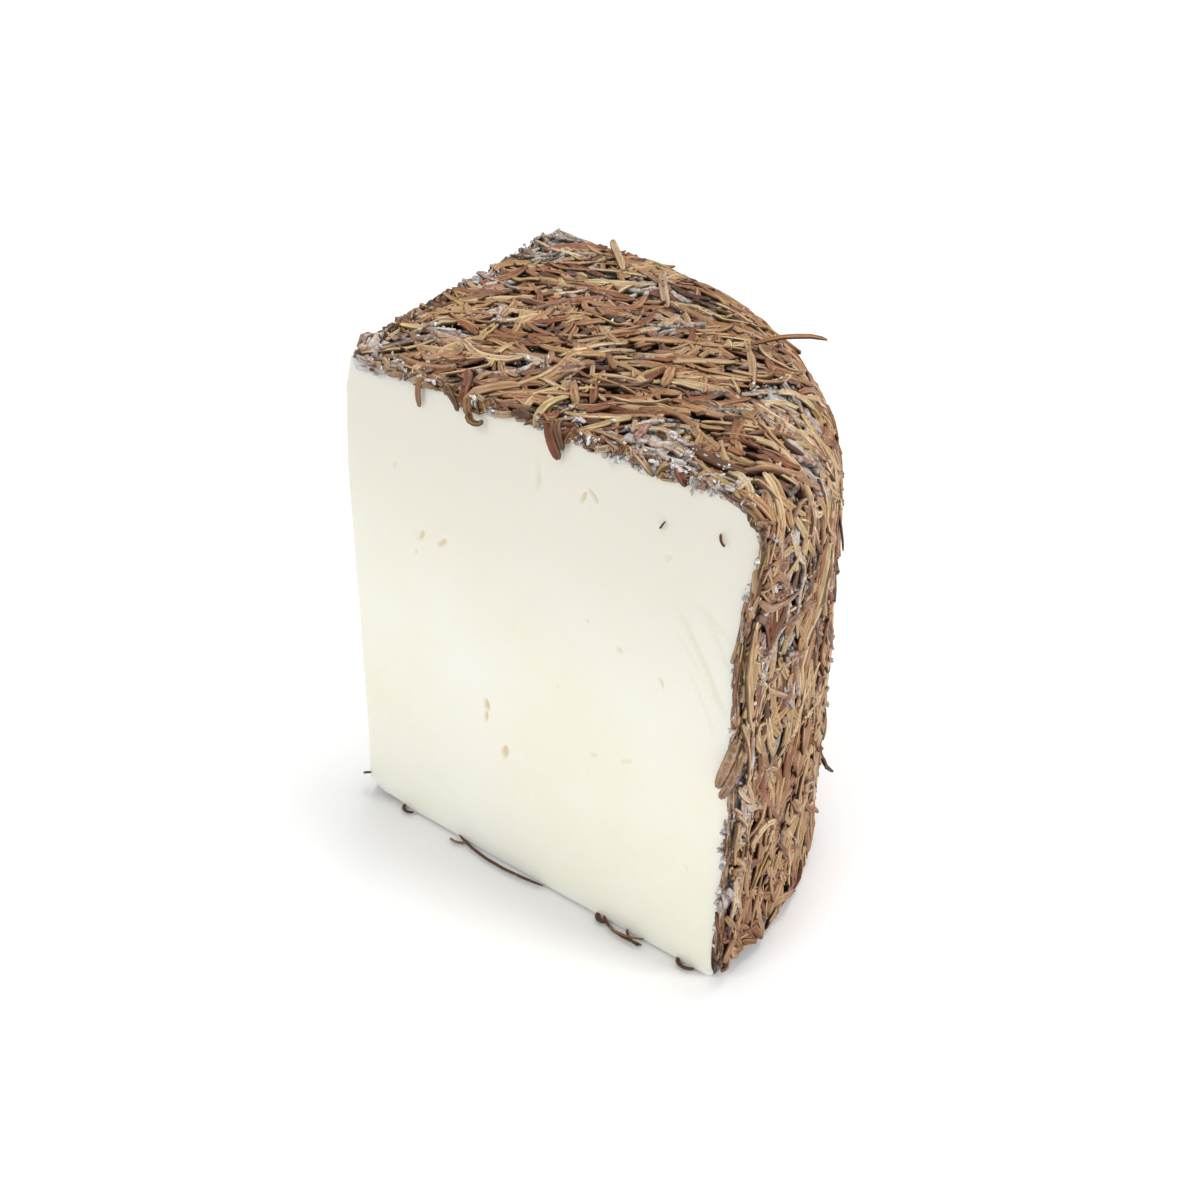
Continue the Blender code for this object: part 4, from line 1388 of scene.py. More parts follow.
# %% Single leaves that hang over a cut or stand off: points, width, kind, tone
FREE_SINGLES = (
    (((53.6, 53.7, 98.6), (57.0, 56.8, 99.9), (61, 60.4, 100.4), (64.2, 63.2, 99.6)), 1.5, "brown", 0.4),
    (((11.5, 66.5, 99.6), (8, 69.8, 100.2), (3, 74.2, 100.6), (-1.2, 78.3, 100.2)), 1.8, "tan", 0.6),
    (((46.2, 10.3, 100.4), (45.4, 7.2, 100.6), (47.4, 1.0, 100.6), (48.9, -1.2, 98.8)), 1.8, "straw", 1.0),
    (((50.6, 1.2, 100.4), (51.6, -0.9, 99.6), (52.6, -1.3, 97.4), (53.7, -0.9, 94.3)), 2.1, "reddish", 0.45),
    (((52.2, 1.6, 100.2), (53.4, -0.9, 99.9), (54.3, -1.2, 98.4), (54.6, -0.9, 96.4)), 1.5, "dark", 0.8),
    (((20.4, 0.5, 99.4), (20.4, -0.8, 98.4), (20.0, -0.8, 96.2), (20.1, -0.6, 93.9)), 1.2, "brown", 0.5),
    (((26.3, 0.8, 99.4), (27.8, -0.8, 99.2), (29.2, -0.9, 98.0), (29.7, -0.7, 96.0)), 1.3, "dark", 0.9),
    (((24.4, 7.2, 100.0), (28.8, 3.0, 100.3), (31.4, -0.6, 100.0), (31.5, -1.0, 97.6)), 2.2, "reddish", 0.8),
    (((36.5, 8.4, 100.2), (33.6, 4.6, 100.4), (32.4, -0.6, 99.6), (33.0, -1.1, 96.2)), 1.8, "brown", 0.8),
    (((32.8, -0.6, 96.8), (33.2, -1.2, 95.6), (34.6, -1.2, 95.2), (36.0, -0.7, 96.0)), 1.6, "brown", 0.5),
    (((69.0, 0.8, 100.2), (71.0, -0.7, 100.4), (72.6, -1.0, 99.4), (74.4, -0.8, 97.9)), 1.5, "tan", 0.5),
    (((76.8, 0.4, 100.3), (76.2, -0.8, 100.2), (75.6, -0.9, 99.2), (74.8, -0.6, 98.4)), 1.4, "straw", 0.3),
    (((78.4, 0.6, 100.4), (79.4, -0.8, 100.2), (80.2, -0.9, 99.3), (80.9, -0.7, 98.2)), 1.5, "reddish", 0.4),
    (((86.8, -0.4, 99.8), (90.2, -0.6, 99.4), (94.0, -0.3, 98.4)), 1.3, "dark", 0.9),
    (((90.6, 0.2, 100.2), (92.6, -0.4, 99.2), (94.6, -0.2, 97.6), (96.0, 0.6, 95.2)), 1.7, "brown", 0.6),
    (((93.3, 0.6, 55.0), (92.9, -0.9, 51.6), (91.6, -1.1, 47.4), (90.2, -0.8, 43.6)), 2.1, "brown", 0.7),
    (((93.9, 1.0, 53.4), (93.9, -0.4, 49.2), (92.8, -1.1, 45.4), (90.9, -0.8, 41.7)), 1.7, "brown", 0.5),
    (((78.6, 48.4, 21.8), (79.6, 49.2, 19.0), (80.7, 49.7, 16.8), (82.0, 50.1, 16.2)), 1.3, "dark", 0.2),
    (((79.6, 48.6, 19.8), (80.4, 49.2, 18.2), (80.6, 49.4, 16.6)), 1.1, "dark", 0.1),
    (((78.0, 48.5, 76.7), (79.3, 49.1, 71.6), (80.2, 49.4, 66.0)), 1.0, "dark", 0.3),
    (((10.0, 0.8, 0.7), (10.8, -0.7, 0.5), (12.2, -1.0, 0.5), (13.4, -0.4, 0.7)), 0.8, "dark", 0.3),
    (((25.7, 0.4, 0.7), (32.5, -1.3, 0.5), (41, -1.6, 0.5), (49.5, -0.6, 0.6)), 0.8, "dark", 0.5),
    (((28.6, -0.4, 0.7), (27.4, -1.4, 0.5), (26.4, -1.7, 0.5), (25.0, -1.5, 0.5)), 0.7, "brown", 0.5),
    (((63.0, 0.6, 0.7), (63.8, -0.8, 0.6), (64.8, -1.2, 0.6), (65.9, -0.7, 0.8)), 1.1, "dark", 0.3),
    (((64.5, 0.2, 0.9), (68.0, -1.6, 0.6), (71.5, -1.9, 0.6), (75.2, -1.5, 0.6)), 0.8, "dark", 0.6),
    (((66.0, -0.8, 0.5), (69.5, -1.9, 0.9), (72.4, -1.4, 0.9), (74.4, 0.2, 0.6)), 0.6, "brown", 0.6),
    (((70.2, 0.4, 0.6), (71.4, -1.0, 0.9), (72.8, -1.7, 0.7), (74.8, -1.9, 0.5)), 0.6, "dark", 0.4),
    (((82.4, 0.6, 0.7), (83.6, -0.8, 0.5), (85.2, -1.0, 0.5), (86.7, -0.2, 0.7)), 0.9, "dark", 0.4),
    (((1.0, -0.3, 4.9), (0.0, -0.7, 4.6), (-0.9, -0.4, 4.0), (-1.4, 0.4, 3.6)), 0.9, "dark", 0.3),
    (((75.2, 0.2, 88.6), (75.8, -0.4, 88.8), (76.1, -0.4, 89.4), (76.4, 0.1, 90.0)), 0.5, "reddish", 0.3),
    (((87.6, 0.2, 91.6), (88.0, -0.4, 91.2), (88.3, -0.4, 90.4), (88.6, 0.1, 89.8)), 0.6, "reddish", 0.4),
)
FLAT = 0.0  # not rolled
FREE_GROOVE = 0.3
for points, width, kind, tone in FREE_SINGLES:
    level = abs(points[-1][2] - points[0][2]) < 2.4
    far = points[-1][1] > 30  # on the far side it faces outwards
    out = (0, 0, 1) if level else (points[1][0], points[1][1], 0) if far else (0.3, -1, 0.3)
    free_leaf(points, width, kind, SINGLE_ENDS, FLAT, FREE_GROOVE, np.array(out, float) / np.linalg.norm(out),
              low=0.05, tone=tone)
print("single leaves:", len(LAID_SINGLES), "laid and", len(FREE_SINGLES), "free")

# %% [markdown]
# ## The base
#
# The wheel stood on leaves too while it ripened, and its weight pressed them flat into the rind. So those of
# the base lie in one plane, every way, and nothing of them reaches below the table.

# %% Leaves pressed into the base
BASE_LEAVES = 430
BASE_REACH = 88.0  # radius that no leaf of the base goes past
BASE_INSIDE = 0.8  # distance that it keeps from the cuts
BASE_SHARES = (0.36, 0.22, 0.16, 0.08, 0.18)
for _ in range(BASE_LEAVES):
    turn = draw.uniform(0.02, CUT_ANGLE - 0.02)
    radius = 84.0 * math.sqrt(draw.random())
    middle = np.array((radius * math.cos(turn), radius * math.sin(turn), 0.34 + 0.12 * draw.random()))
    heading = draw.uniform(0, math.pi)
    half = draw.triangular(5, 17, 10) / 2
    run = np.array((math.cos(heading), math.sin(heading), 0)) * half
    bow = np.array((-run[1], run[0], 0)) * draw.gauss(0, 0.08)
    points = np.array([middle - run, middle - run / 3 + bow, middle + run / 3 + bow, middle + run])
    if inside_cuts(points).min() < BASE_INSIDE or np.hypot(points[:, 0], points[:, 1]).max() > BASE_REACH:
        continue
    width, kind = draw.uniform(1.0, 1.6), draw.choices(KINDS, BASE_SHARES)[0]
    free_leaf(worn_foot(points), width, kind, (0.15, 0.2), FLAT, 0.5, (0, 0, -1),
              low=draw.uniform(0.3, 0.8), ring_shares=SHORT_SHARES)
print("leaves in all:", sum(len(leaves) for leaves in coat.values()))

# %% Join the leaves of each kind into one mesh, and its short bits into another
leaf_pieces = {}
for kind, leaves in coat.items():
    middles = np.array([leaf["spine"].mean(0) for leaf in leaves])
    for leaf, bloom in zip(leaves, bloom_amount(middles)):
        leaf["bloom"] = float(bloom)
    for name, shares in ((f"rosemary_{kind}", RING_SHARES), (f"rosemary_{kind}_bits", SHORT_SHARES)):
        chosen = [leaf for leaf in leaves if len(leaf["spine"]) == len(shares)]
        places, faces, numbers = leaf_rings(chosen, shares)
        leaf_pieces[name] = new_piece(name, inside_box(places), faces, numbers)
        print(name, len(chosen), "leaves")

# %% [markdown]
# ## Crumbs of bloom
#
# Where the bloom is thick it breaks into white and grey crumbs that sit among the leaves, most of them on
# the torn band over the first cut. Each is a small ball of twenty or eighty triangles, squeezed and dented by
# noise so that no two look alike.

# %% The white heaps that catch the eye
FLAKES = (  # white heaps on the torn edge and between the leaves of the rim: place, reach, and how many
    ((50.5, 6.0, 100.2), 1.0, 7), ((54.9, 3.2, 100.3), 1.2, 10), ((57.3, 7.5, 100.2), 1.2, 10),
    ((60.0, -0.4, 98.8), 0.9, 8), ((65.0, 0.6, 100.2), 1.1, 14), ((62.2, 0.2, 100.2), 1.2, 10),
    ((70.4, 9.4, 100.4), 1.5, 22), ((73.7, 7.2, 100.5), 1.6, 26), ((76.6, 5.8, 100.5), 1.5, 24),
    ((76.0, 1.2, 100.4), 1.2, 16), ((80.3, 7.6, 100.5), 1.2, 10), ((85.2, 2.3, 100.3), 1.3, 18),
    ((84.2, 4.8, 100.5), 1.2, 14), ((90.3, 2.0, 100.2), 1.2, 14), ((23.6, 0.0, 99.6), 1.2, 12),
    ((14.8, 7.6, 99.4), 1.4, 9), ((10.6, 2.4, 99.2), 1.5, 12), ((4.6, 4.0, 99.0), 1.4, 12),
    ((71.3, 0.6, 100.4), 1.2, 10), ((67.8, 3.2, 100.3), 1.2, 10), ((95.2, 9.6, 90.8), 1.1, 8),
    ((92.9, 8.6, 67.4), 1.3, 9), ((93.0, 6.1, 63.3), 1.2, 8), ((94.4, 2.2, 78.2), 1.0, 7),
    ((93.2, 4.4, 47.5), 1.3, 10), ((93.2, 11.4, 79.8), 1.3, 8), ((66.0, 38.9, 98.2), 1.5, 9),
    ((93.0, 2.0, 33.0), 0.9, 6), ((92.8, 1.6, 21.0), 0.9, 6), ((31.0, 20.3, 99.4), 1.2, 7),
)
print("heaps:", len(FLAKES))

# %% Lumpy crumbs as one mesh
LARGE_CRUMB = 0.34
CRUMB_DENT = (0.7, 0.7)  # how deep, and over what length


def unit_ball(divisions):
    """Places and triangles of a ball made of triangles, radius 1."""
    ball = bmesh.new()
    bmesh.ops.create_icosphere(ball, subdivisions=divisions, radius=1.0)
    places = np.array([vert.co for vert in ball.verts])
    faces = np.array([[vert.index for vert in face.verts] for face in ball.faces])
    ball.free()
    return places, faces


def crumb_mesh(name, spots):
    """Crumbs at spots of (place, size) in one mesh."""
    places, faces, tones = [], [], []
    count = 0
    for place, size in spots:
        ball_places, ball_faces = balls[1 if size > LARGE_CRUMB else 0]
        stretch = np.array([draw.uniform(0.35, 1.7) for _ in range(3)])
        dents = 1 + CRUMB_DENT[0] * swell(ball_places + np.array(place), CRUMB_DENT[1])
        dents = dents * np.array([draw.uniform(0.6, 1.3) for _ in dents])
        places.append(place + ball_places * stretch * size * dents[:, None])
        faces.append(ball_faces + count)
        tones.append(np.full(len(ball_places), draw.random()))
        count += len(ball_places)
    numbers = {"tone": np.concatenate(tones)}
    return new_piece(name, inside_box(np.vstack(places)), np.vstack(faces), numbers, smooth=False)


def on_coat(place, share):
    """A place on the skin under another, raised by a share of the pile there."""
    found, up, _, _ = skin_tree.find_nearest(Vector(place))
    top = pile.get(pile_cells(np.array(found)[None])[0], 0.0)
    return np.array(found) + np.array(up) * top * share


def crumb_size(least, more, power=2):
    """A random size; the higher the power, the more of them are small."""
    return least + more * draw.random() ** power


def gauss_step(*spreads):
    """A random step with a spread for each axis."""
    return np.array([draw.gauss(0, spread) for spread in spreads])


balls = (unit_ball(1), unit_ball(2))
print("crumb faces:", [len(faces) for _, faces in balls])

# %% Crumbs among the leaves
CLUSTERS = 240
LONE_CRUMBS = 500
crumb_spots = []
spots = random_spots((CLUSTERS + LONE_CRUMBS) * 8)
clusters = lone = 0
for place, amount in zip(spots, bloom_amount(spots)):
    if inside_cuts(place[None])[0] < -0.2 or place[2] < 1.5 or draw.random() > amount ** 3:
        continue
    if clusters < CLUSTERS:
        clusters += 1
        for _ in range(draw.randint(3, 9)):
            near = place + gauss_step(0.8, 0.8, 0.8)
            if inside_cuts(near[None])[0] > 0:
                crumb_spots.append((on_coat(near, draw.uniform(0.3, 0.85)), crumb_size(0.12, 0.34)))
    elif lone < LONE_CRUMBS:
        lone += 1
        crumb_spots.append((on_coat(place, draw.uniform(0.2, 0.9)), crumb_size(0.10, 0.22)))
print("among the leaves:", len(crumb_spots))

# %% Crumbs in the torn edge of both cuts
BAND_CLUSTERS = 85  # on each cut
ANYWHERE = 0.55  # the other clusters gather round one stretch, where the photographed edge is whitest
WHITEST, WHITEST_SPREAD = 70, 9
CLUSTER_BAND = 1.6
for which, outline in enumerate(outlines):
    for _ in range(BAND_CLUSTERS):
        anywhere = draw.random() < ANYWHERE
        where = draw.uniform(3, outline[2][-1]) if anywhere else draw.gauss(WHITEST, WHITEST_SPREAD)
        spot, inward = outline_place(outline, where)
        top = inward[1] < -0.5
        band = CLUSTER_BAND
        if which == 0 and not top:
            band = float(np.interp(spot[1], EDGE_HEIGHTS, EDGE_DEPTHS))
        deep = draw.uniform(0.1, band)
        for _ in range(draw.randint(3, 11)):
            flat = spot + inward * deep + gauss_step(0.9 if top else 0.25, 0.6)
            size = crumb_size(0.12, 0.42, 2.2)
            crumb_spots.append((cut_place(which, flat[0], draw.uniform(-0.3, 0.6), flat[1]), size))
print("with the torn edge:", len(crumb_spots))

# %% Crumbs of the heaps, and the piece
HEAP_FILL = 0.8
HEAP_SPREAD = 0.6
FURTHEST_OUT = -0.5  # of the first cut
for centre, reach, count in FLAKES:
    for _ in range(int(count * HEAP_FILL)):
        place = np.array(centre) + gauss_step(*[reach * HEAP_SPREAD] * 3)
        place[1] = max(place[1], FURTHEST_OUT)
        crumb_spots.append((place, crumb_size(0.12, 0.42)))
crumbs = crumb_mesh("bloom_crumbs", crumb_spots)
print("crumbs:", len(crumb_spots))

# %% [markdown]
# ## Shader groups shared by the finishes
#
# Two effects come back in more than one finish. Fibre is the fine lengthwise streaking of a dried leaf, and
# bloom dust is the patchy white growth that dulls the leaves and thickens on the bed. Each is a node group
# with its own inputs and outputs, built once, so that a change to it reaches every finish.

# %% Small helpers for node trees


def link(tree, source, target):
    """Feeds one socket into another."""
    tree.links.new(source, target)


def add_node(tree, kind, **settings):
    """A new node of a kind, with its settings."""
    node = tree.nodes.new(kind)
    for name, value in settings.items():
        setattr(node, name, value)
    return node


def set_inputs(node, **values):
    """Plain values on a node's inputs; an underscore stands for a space in an input's name."""
    for name, value in values.items():
        node.inputs[name.replace("_", " ")].default_value = value
    return node


def new_group(name, inputs, outputs):
    """A shader node group with its sockets; inputs give name, kind and default."""
    group = bpy.data.node_groups.new(name, "ShaderNodeTree")
    for label, kind, default in inputs:
        socket = group.interface.new_socket(name=label, in_out="INPUT", socket_type=kind)
        if default is not None:
            socket.default_value = default
    for label, kind in outputs:
        group.interface.new_socket(name=label, in_out="OUTPUT", socket_type=kind)
    return group, group.nodes.new("NodeGroupInput"), group.nodes.new("NodeGroupOutput")


# %% Helpers for numbers and masks


def math_node(tree, operation, first, second):
    """A Math node; each of its inputs is a number or a socket."""
    node = add_node(tree, "ShaderNodeMath", operation=operation)
    for index, value in enumerate((first, second)):
        if isinstance(value, (int, float)):
            node.inputs[index].default_value = value
        else:
            link(tree, value, node.inputs[index])
    return node.outputs[0]


def spread(tree, value, low, high, to_low=0.0, to_high=1.0):
    """A smooth range map from low..high to to_low..to_high."""
    node = add_node(tree, "ShaderNodeMapRange", interpolation_type="SMOOTHSTEP")
    link(tree, value, node.inputs["Value"])
    set_inputs(node, From_Min=low, From_Max=high, To_Min=to_low, To_Max=to_high)
    return node.outputs["Result"]


def attribute(tree, name):
    """A number that the mesh carries at each point."""
    node = add_node(tree, "ShaderNodeAttribute", attribute_name=name, attribute_type="GEOMETRY")
    return node.outputs["Fac"]


def place_of(tree):
    """The place on the object, in metres."""
    return add_node(tree, "ShaderNodeTexCoord").outputs["Object"]


def noise_at(tree, vector, scale, detail=3.0, roughness=0.55):
    """A noise value at a vector."""
    node = set_inputs(add_node(tree, "ShaderNodeTexNoise"), Scale=scale, Detail=detail, Roughness=roughness)
    link(tree, vector, node.inputs["Vector"])
    return node.outputs["Fac"]


# %% Helpers for colours


def srgb(red, green, blue):
    """A linear colour from the usual 0 to 255 numbers."""
    values = []
    for value in (red, green, blue):
        share = value / 255
        values.append(share / 12.92 if share <= 0.04045 else ((share + 0.055) / 1.055) ** 2.4)
    return tuple(values)


def mix_colour(tree, share, first, second):
    """A colour mix; share is a socket, and each colour is a socket or an (r, g, b) in linear light."""
    node = add_node(tree, "ShaderNodeMix", data_type="RGBA")
    link(tree, share, node.inputs["Factor"])
    for label, value in (("A", first), ("B", second)):
        socket = next(s for s in node.inputs if s.name == label and s.type == "RGBA")
        if isinstance(value, tuple):
            socket.default_value = (*value, 1.0)
        else:
            link(tree, value, socket)
    return next(s for s in node.outputs if s.type == "RGBA")


def tint(tree, base, mask, share, colour):
    """The base colour moved towards another by a share of a mask."""
    return mix_colour(tree, math_node(tree, "MULTIPLY", mask, share), base, colour)


print("a mid grey in linear light:", round(srgb(128, 128, 128)[0], 3))

# %% The fibre group: fine streaks along a leaf
fibre, group_in, group_out = new_group(
    "leaf_fibre",
    (("Across", "NodeSocketFloat", 0.5), ("Along", "NodeSocketFloat", 0.0), ("Tone", "NodeSocketFloat", 0.5)),
    (("Streak", "NodeSocketFloat"), ("Blotch", "NodeSocketFloat")),
)
# for each output: how much finer than the leaf's own numbers the noise is across, along and from leaf to leaf
FIBRE_NOISES = (("Streak", (3.2, 0.16, 91.0), 1.7), ("Blotch", (0.5, 0.35, 57.0), 0.9))
for label, stretches, scale in FIBRE_NOISES:
    joined = add_node(fibre, "ShaderNodeCombineXYZ")
    for source, axis, stretch in zip(("Across", "Along", "Tone"), "XYZ", stretches):
        link(fibre, math_node(fibre, "MULTIPLY", group_in.outputs[source], stretch), joined.inputs[axis])
    link(fibre, noise_at(fibre, joined.outputs[0], scale, 2.0), group_out.inputs[label])
print("group:", fibre.name, "with", len(fibre.nodes), "nodes")

# %% The bloom group: patchy white growth
dust, group_in, group_out = new_group(
    "bloom_dust",
    (("Amount", "NodeSocketFloat", 0.5), ("Fineness", "NodeSocketFloat", 1.0)),
    (("Mask", "NodeSocketFloat"), ("Grain", "NodeSocketFloat")),
)
scaled = add_node(dust, "ShaderNodeVectorMath", operation="SCALE")
link(dust, place_of(dust), scaled.inputs[0])
link(dust, group_in.outputs["Fineness"], scaled.inputs["Scale"])
patchy = noise_at(dust, scaled.outputs[0], 520.0, 4.0, 0.62)
grain = noise_at(dust, scaled.outputs[0], 2600.0, 3.0, 0.6)
reach = math_node(dust, "ADD", group_in.outputs["Amount"], math_node(dust, "MULTIPLY", patchy, 1.1))
reach = math_node(dust, "ADD", reach, math_node(dust, "MULTIPLY", grain, 0.35))
link(dust, spread(dust, reach, 1.05, 1.55), group_out.inputs["Mask"])
link(dust, grain, group_out.inputs["Grain"])
print("group:", dust.name, "with", len(dust.nodes), "nodes")

# %% [markdown]
# ## Finishes
#
# Paste is a scattering solid, so a little light travels under its surface and softens every dent. Its drag
# grooves get painted shade. Leaves are dry and dull, with painted shade in the groove, at their margins
# and low in the pile, paler on the ridges, each with its own tone. The bed is dark between crumbs, partly
# from their own colour and partly from painted shade of the gaps, and grey-white where the bloom has grown.

# %% A new material with its shader


def new_finish(name, **values):
    """A material, its tree and its shader, with plain numbers set on the shader's own sockets."""
    material = bpy.data.materials.new(name)
    material.use_nodes = True
    tree = material.node_tree
    shader = tree.nodes["Principled BSDF"]
    set_inputs(shader, **values)
    return material, tree, shader


def bump(tree, shader, height, strength, distance):
    """Fine relief from a height, on top of what the mesh has."""
    node = set_inputs(add_node(tree, "ShaderNodeBump"), Strength=strength, Distance=distance)
    link(tree, height, node.inputs["Height"])
    link(tree, node.outputs["Normal"], shader.inputs["Normal"])


# %% Ivory paste
paste_finish, tree, shader = new_finish("ivory_paste", Subsurface_Weight=0.35, Subsurface_Scale=0.0035,
                                        Subsurface_Radius=(1.0, 0.75, 0.45), Specular_IOR_Level=0.35)
coords = place_of(tree)
cloud = noise_at(tree, coords, 26.0, 3.0)
fine = noise_at(tree, coords, 900.0, 4.0, 0.6)
grainy = noise_at(tree, coords, 210.0, 4.0, 0.6)
height = add_node(tree, "ShaderNodeSeparateXYZ")
link(tree, coords, height.inputs[0])
towards_top = spread(tree, height.outputs["Z"], 0.035, 0.097)
drag_shade_share = spread(tree, attribute(tree, "drag_shade"), 0.5, 0.95)
hollow_share = spread(tree, attribute(tree, "hollow"), 0.15, 0.95)
ivory = mix_colour(tree, spread(tree, cloud, 0.35, 0.68), srgb(245, 243, 232), srgb(242, 239, 221))
ivory = tint(tree, ivory, spread(tree, grainy, 0.52, 0.75), 0.35, srgb(247, 245, 235))
ivory = mix_colour(tree, towards_top, ivory, srgb(227, 224, 211))
# painted shade in the drag grooves
ivory = tint(tree, ivory, drag_shade_share, 0.6, srgb(226, 221, 200))
ivory = tint(tree, ivory, hollow_share, 0.75, srgb(229, 209, 162))
link(tree, ivory, shader.inputs["Base Color"])
link(tree, spread(tree, fine, 0.3, 0.7, 0.36, 0.52), shader.inputs["Roughness"])
bump(tree, shader, math_node(tree, "ADD", fine, math_node(tree, "MULTIPLY", grainy, 2.0)), 0.22, 0.0002)
print("finish:", paste_finish.name)

# %% The bed of crumbs and bloom
bed_finish, tree, shader = new_finish("bloomy_bed", Specular_IOR_Level=0.25)
growth = set_inputs(add_node(tree, "ShaderNodeGroup", node_tree=dust), Fineness=0.8)
amount = math_node(tree, "ADD", math_node(tree, "MULTIPLY", attribute(tree, "bloom"), 1.3), -0.1)
link(tree, amount, growth.inputs["Amount"])
crumbly = noise_at(tree, place_of(tree), 1100.0, 4.0, 0.65)
# the rind's dark crumbs, darkened further with painted shade of the gaps between the leaves
dark = mix_colour(tree, spread(tree, crumbly, 0.35, 0.7), srgb(40, 25, 15), srgb(104, 74, 49))
pale = mix_colour(tree, spread(tree, crumbly, 0.3, 0.7), srgb(162, 156, 151), srgb(220, 216, 211))
link(tree, mix_colour(tree, growth.outputs["Mask"], dark, pale), shader.inputs["Base Color"])
link(tree, spread(tree, crumbly, 0.3, 0.7, 0.7, 0.95), shader.inputs["Roughness"])
bump(tree, shader, math_node(tree, "ADD", crumbly, growth.outputs["Mask"]), 0.6, 0.0005)
print("finish:", bed_finish.name)

# %% A dried leaf
BLOOM_GREY = srgb(203, 200, 197)
# how dark the painted shade in a leaf's groove is
GROOVE_SHADE = 0.42


def leaf_finish(name, deep, middle, light, dusting):
    """A dry leaf: painted shade in its groove, at its margins and low in the pile; light on its ridges."""
    material, tree, shader = new_finish(name, Specular_IOR_Level=0.40)
    across, along, tone = attribute(tree, "across"), attribute(tree, "along"), attribute(tree, "tone")
    fibres = add_node(tree, "ShaderNodeGroup", node_tree=fibre)
    for source, label in ((across, "Across"), (along, "Along"), (tone, "Tone")):
        link(tree, source, fibres.inputs[label])
    streak = fibres.outputs["Streak"]
    ridge = spread(tree, across, 0.05, 0.55)
    ending = spread(tree, attribute(tree, "share"), 0.72, 1.0, 0.0, 0.4)
    body = mix_colour(tree, spread(tree, tone, 0.0, 1.0), middle, light)
    body = tint(tree, body, spread(tree, streak, 0.42, 0.62), 0.55, deep)
    body = tint(tree, body, spread(tree, fibres.outputs["Blotch"], 0.5, 0.68), 0.6, middle)
    # painted shade in the groove between the rolled margins
    groove_shade = math_node(tree, "SUBTRACT", GROOVE_SHADE, math_node(tree, "MULTIPLY", ridge, GROOVE_SHADE))
    body = mix_colour(tree, groove_shade, body, deep)
    body = tint(tree, body, ending, spread(tree, tone, 0.2, 0.8), deep)
    # painted shade on the margins, beneath and at the ends, where leaves shade each other
    margin_shade = spread(tree, attribute(tree, "edge"), 0.25, 0.95)
    body = tint(tree, body, margin_shade, 0.9, tuple(0.4 * value for value in deep))
    low = attribute(tree, "low")
    # painted shade on leaves that lie low in the pile
    body = tint(tree, body, low, 0.7, deep)
    growth = set_inputs(add_node(tree, "ShaderNodeGroup", node_tree=dust), Fineness=2.0)
    wanted = math_node(tree, "MULTIPLY", attribute(tree, "bloom"), math_node(tree, "ADD", low, 0.62))
    link(tree, math_node(tree, "MULTIPLY", wanted, dusting), growth.inputs["Amount"])
    body = tint(tree, body, growth.outputs["Mask"], 0.8, BLOOM_GREY)
    link(tree, body, shader.inputs["Base Color"])
    link(tree, spread(tree, streak, 0.3, 0.7, 0.32, 0.5), shader.inputs["Roughness"])
    bump(tree, shader, streak, 0.35, 0.0002)
    return material


# %% The five kinds of leaf: deep, middle and light colour, and how much bloom settles on them
LEAF_COLOURS = {
    "brown": ((88, 48, 21), (153, 107, 68), (194, 153, 109), 0.8),
    "tan": ((108, 72, 37), (187, 148, 102), (220, 194, 152), 0.7),
    "reddish": ((70, 30, 14), (127, 71, 39), (165, 107, 68), 0.7),
    "straw": ((112, 82, 42), (185, 154, 100), (217, 195, 143), 0.5),
    "dark": ((50, 26, 12), (92, 58, 34), (137, 99, 68), 0.9),
}
for kind, (deep, middle, light, dusting) in LEAF_COLOURS.items():
    finish = leaf_finish(f"dried_leaf_{kind}", srgb(*deep), srgb(*middle), srgb(*light), dusting)
    for name in (f"rosemary_{kind}", f"rosemary_{kind}_bits"):
        dress(leaf_pieces[name], finish)

# %% White and grey crumbs
crumb_finish, tree, shader = new_finish("bloom_crumb", Subsurface_Weight=0.2, Subsurface_Scale=0.001,
                                        Specular_IOR_Level=0.4)
speck = noise_at(tree, place_of(tree), 1800.0, 3.0, 0.6)
whiter = spread(tree, attribute(tree, "tone"), 0.4, 1.0)
shade = mix_colour(tree, whiter, srgb(178, 172, 171), srgb(238, 236, 233))
shade = mix_colour(tree, spread(tree, speck, 0.6, 0.85), shade, srgb(158, 142, 128))
link(tree, shade, shader.inputs["Base Color"])
link(tree, spread(tree, speck, 0.3, 0.7, 0.45, 0.8), shader.inputs["Roughness"])
bump(tree, shader, speck, 0.4, 0.0002)
print("finish:", crumb_finish.name)

# %% Dress the other pieces, and let the paste stand for the model's solid
dress(paste, paste_finish)
dress(bed, bed_finish)
dress(crumbs, crumb_finish)
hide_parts("cheese")

# %% [markdown]
# ## Camera, light and floor
#
# The photograph looks down at the first cut and the rim beside it through a lens of about 56 mm. The light is
# a bright, soft studio: a weaker panel high on the left in front, a stronger one on the right that lights
# the rim, one overhead, and white all round, so the shade stays thin.

# %% The camera
PITCH = math.radians(29.92)
ROLL = math.radians(0.77)
WEDGE_TURN = math.radians(40.13)
FIT_SCALE = 0.92  # the camera was fitted to a wheel this much smaller
TARGET = np.array((44.05, 0, 42.96)) / FIT_SCALE
DISTANCE = 339.9 / FIT_SCALE
FOCAL_PIXELS = 1862.0
PHOTO_WIDTH = 1200.0
SENSOR = 36.0


def turned(vector):
    """A direction or place from the camera's level frame to the wedge's."""
    c, s = math.cos(WEDGE_TURN), math.sin(WEDGE_TURN)
    return np.array((c * vector[0] - s * vector[1], s * vector[0] + c * vector[1], vector[2]))


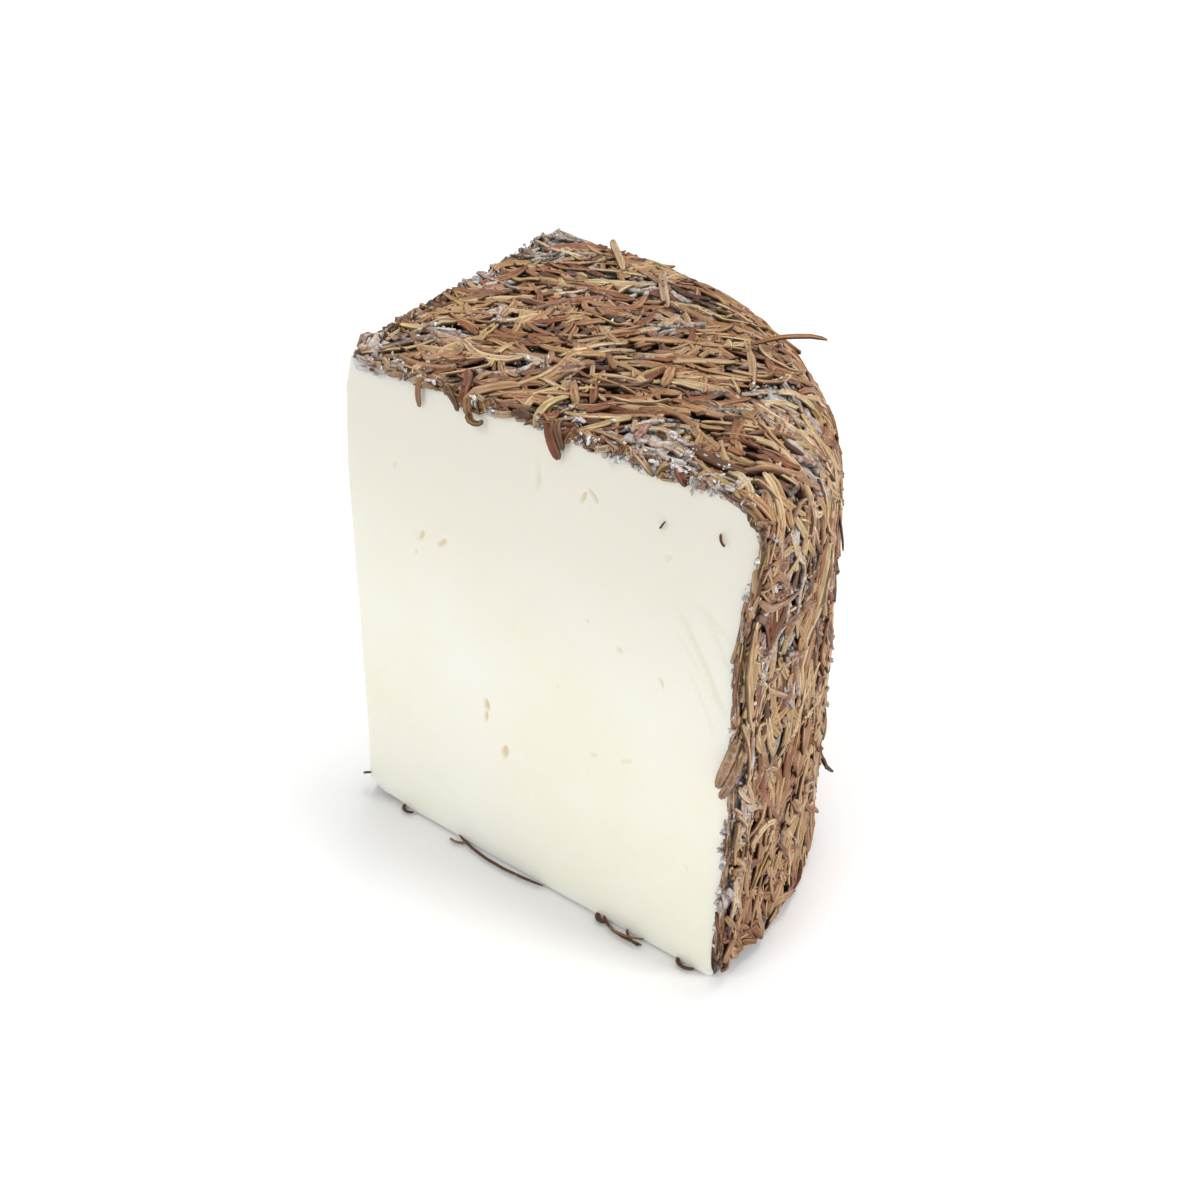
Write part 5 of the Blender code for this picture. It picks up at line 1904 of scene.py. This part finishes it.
forward = np.array((0, math.cos(PITCH), -math.sin(PITCH)))
level_right = np.array((1.0, 0, 0))
level_up = np.array((0, math.sin(PITCH), math.cos(PITCH)))
right = turned(level_right * math.cos(ROLL) + level_up * math.sin(ROLL))
up = turned(level_up * math.cos(ROLL) - level_right * math.sin(ROLL))
eye = (turned(TARGET - forward * DISTANCE) + WHEEL_AXIS) * MM
forward = turned(forward)
camera = bpy.data.objects.new("camera", bpy.data.cameras.new("camera"))
bpy.context.scene.collection.objects.link(camera)
camera.data.sensor_width = SENSOR
camera.data.lens = FOCAL_PIXELS / PHOTO_WIDTH * SENSOR
camera.data.clip_start = 0.01
camera.data.clip_end = 20.0
turn = np.eye(4)
turn[:3, 0], turn[:3, 1], turn[:3, 2], turn[:3, 3] = right, up, -forward, eye
camera.matrix_world = Matrix(turn.tolist())
bpy.context.scene.camera = camera
print("camera at", np.round(eye / MM, 1), "lens", round(camera.data.lens, 2))

# %% The floor
FLOOR_HALF = 3.0
FLOOR_DROP = -0.0002
floor_mesh = bpy.data.meshes.new("floor")
floor_corners = [(x * FLOOR_HALF, y * FLOOR_HALF, 0) for x, y in ((-1, -1), (1, -1), (1, 1), (-1, 1))]
floor_mesh.from_pydata(floor_corners, [], [(0, 1, 2, 3)])
floor = bpy.data.objects.new("floor", floor_mesh)
bpy.context.scene.collection.objects.link(floor)
floor.location.z = FLOOR_DROP
floor_finish, tree, shader = new_finish("pale_floor", Base_Color=(0.93, 0.93, 0.93, 1.0), Roughness=0.8,
                                        Specular_IOR_Level=0.2)
floor_mesh.materials.append(floor_finish)
print("floor:", 2 * FLOOR_HALF, "m wide")

# %% Panels and world
AIM = Vector((0, 0, 0.05))


def soft_panel(name, place, size, power):
    """A square lamp that faces the cheese."""
    lamp = bpy.data.lights.new(name, "AREA")
    lamp.size = size
    lamp.energy = power
    made = bpy.data.objects.new(name, lamp)
    bpy.context.scene.collection.objects.link(made)
    made.location = place
    made.rotation_euler = (AIM - Vector(place)).to_track_quat("-Z", "Y").to_euler()
    return made


def beside(to_right, back, height):
    """A place in metres given as seen from the camera: to its right, away from it, and up."""
    return tuple(turned((to_right, back, height)))


PANELS = (  # name, place beside the camera's line, size and power
    ("key_panel", (-1.5, -1.5, 2.0), 1.1, 19.5),
    ("side_panel", (2.2, -0.9, 1.4), 1.0, 41.0),
    ("top_panel", (0.3, 0.6, 2.8), 1.3, 37.0),
)
for name, place, size, power in PANELS:
    panel = soft_panel(name, beside(*place), size, power)
    print(name, "at", [round(value, 2) for value in panel.location], "m")
world = bpy.data.worlds.new("studio")
bpy.context.scene.world = world
world.use_nodes = True
set_inputs(world.node_tree.nodes["Background"], Color=(1, 1, 1, 1), Strength=0.54)
bpy.context.scene.view_settings.view_transform = "Standard"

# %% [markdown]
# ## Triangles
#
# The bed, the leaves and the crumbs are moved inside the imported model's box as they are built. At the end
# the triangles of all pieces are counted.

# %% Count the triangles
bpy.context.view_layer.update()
total = sum(triangles(piece) for piece in (paste, bed, crumbs, *leaf_pieces.values()))
print("triangles in all:", total)
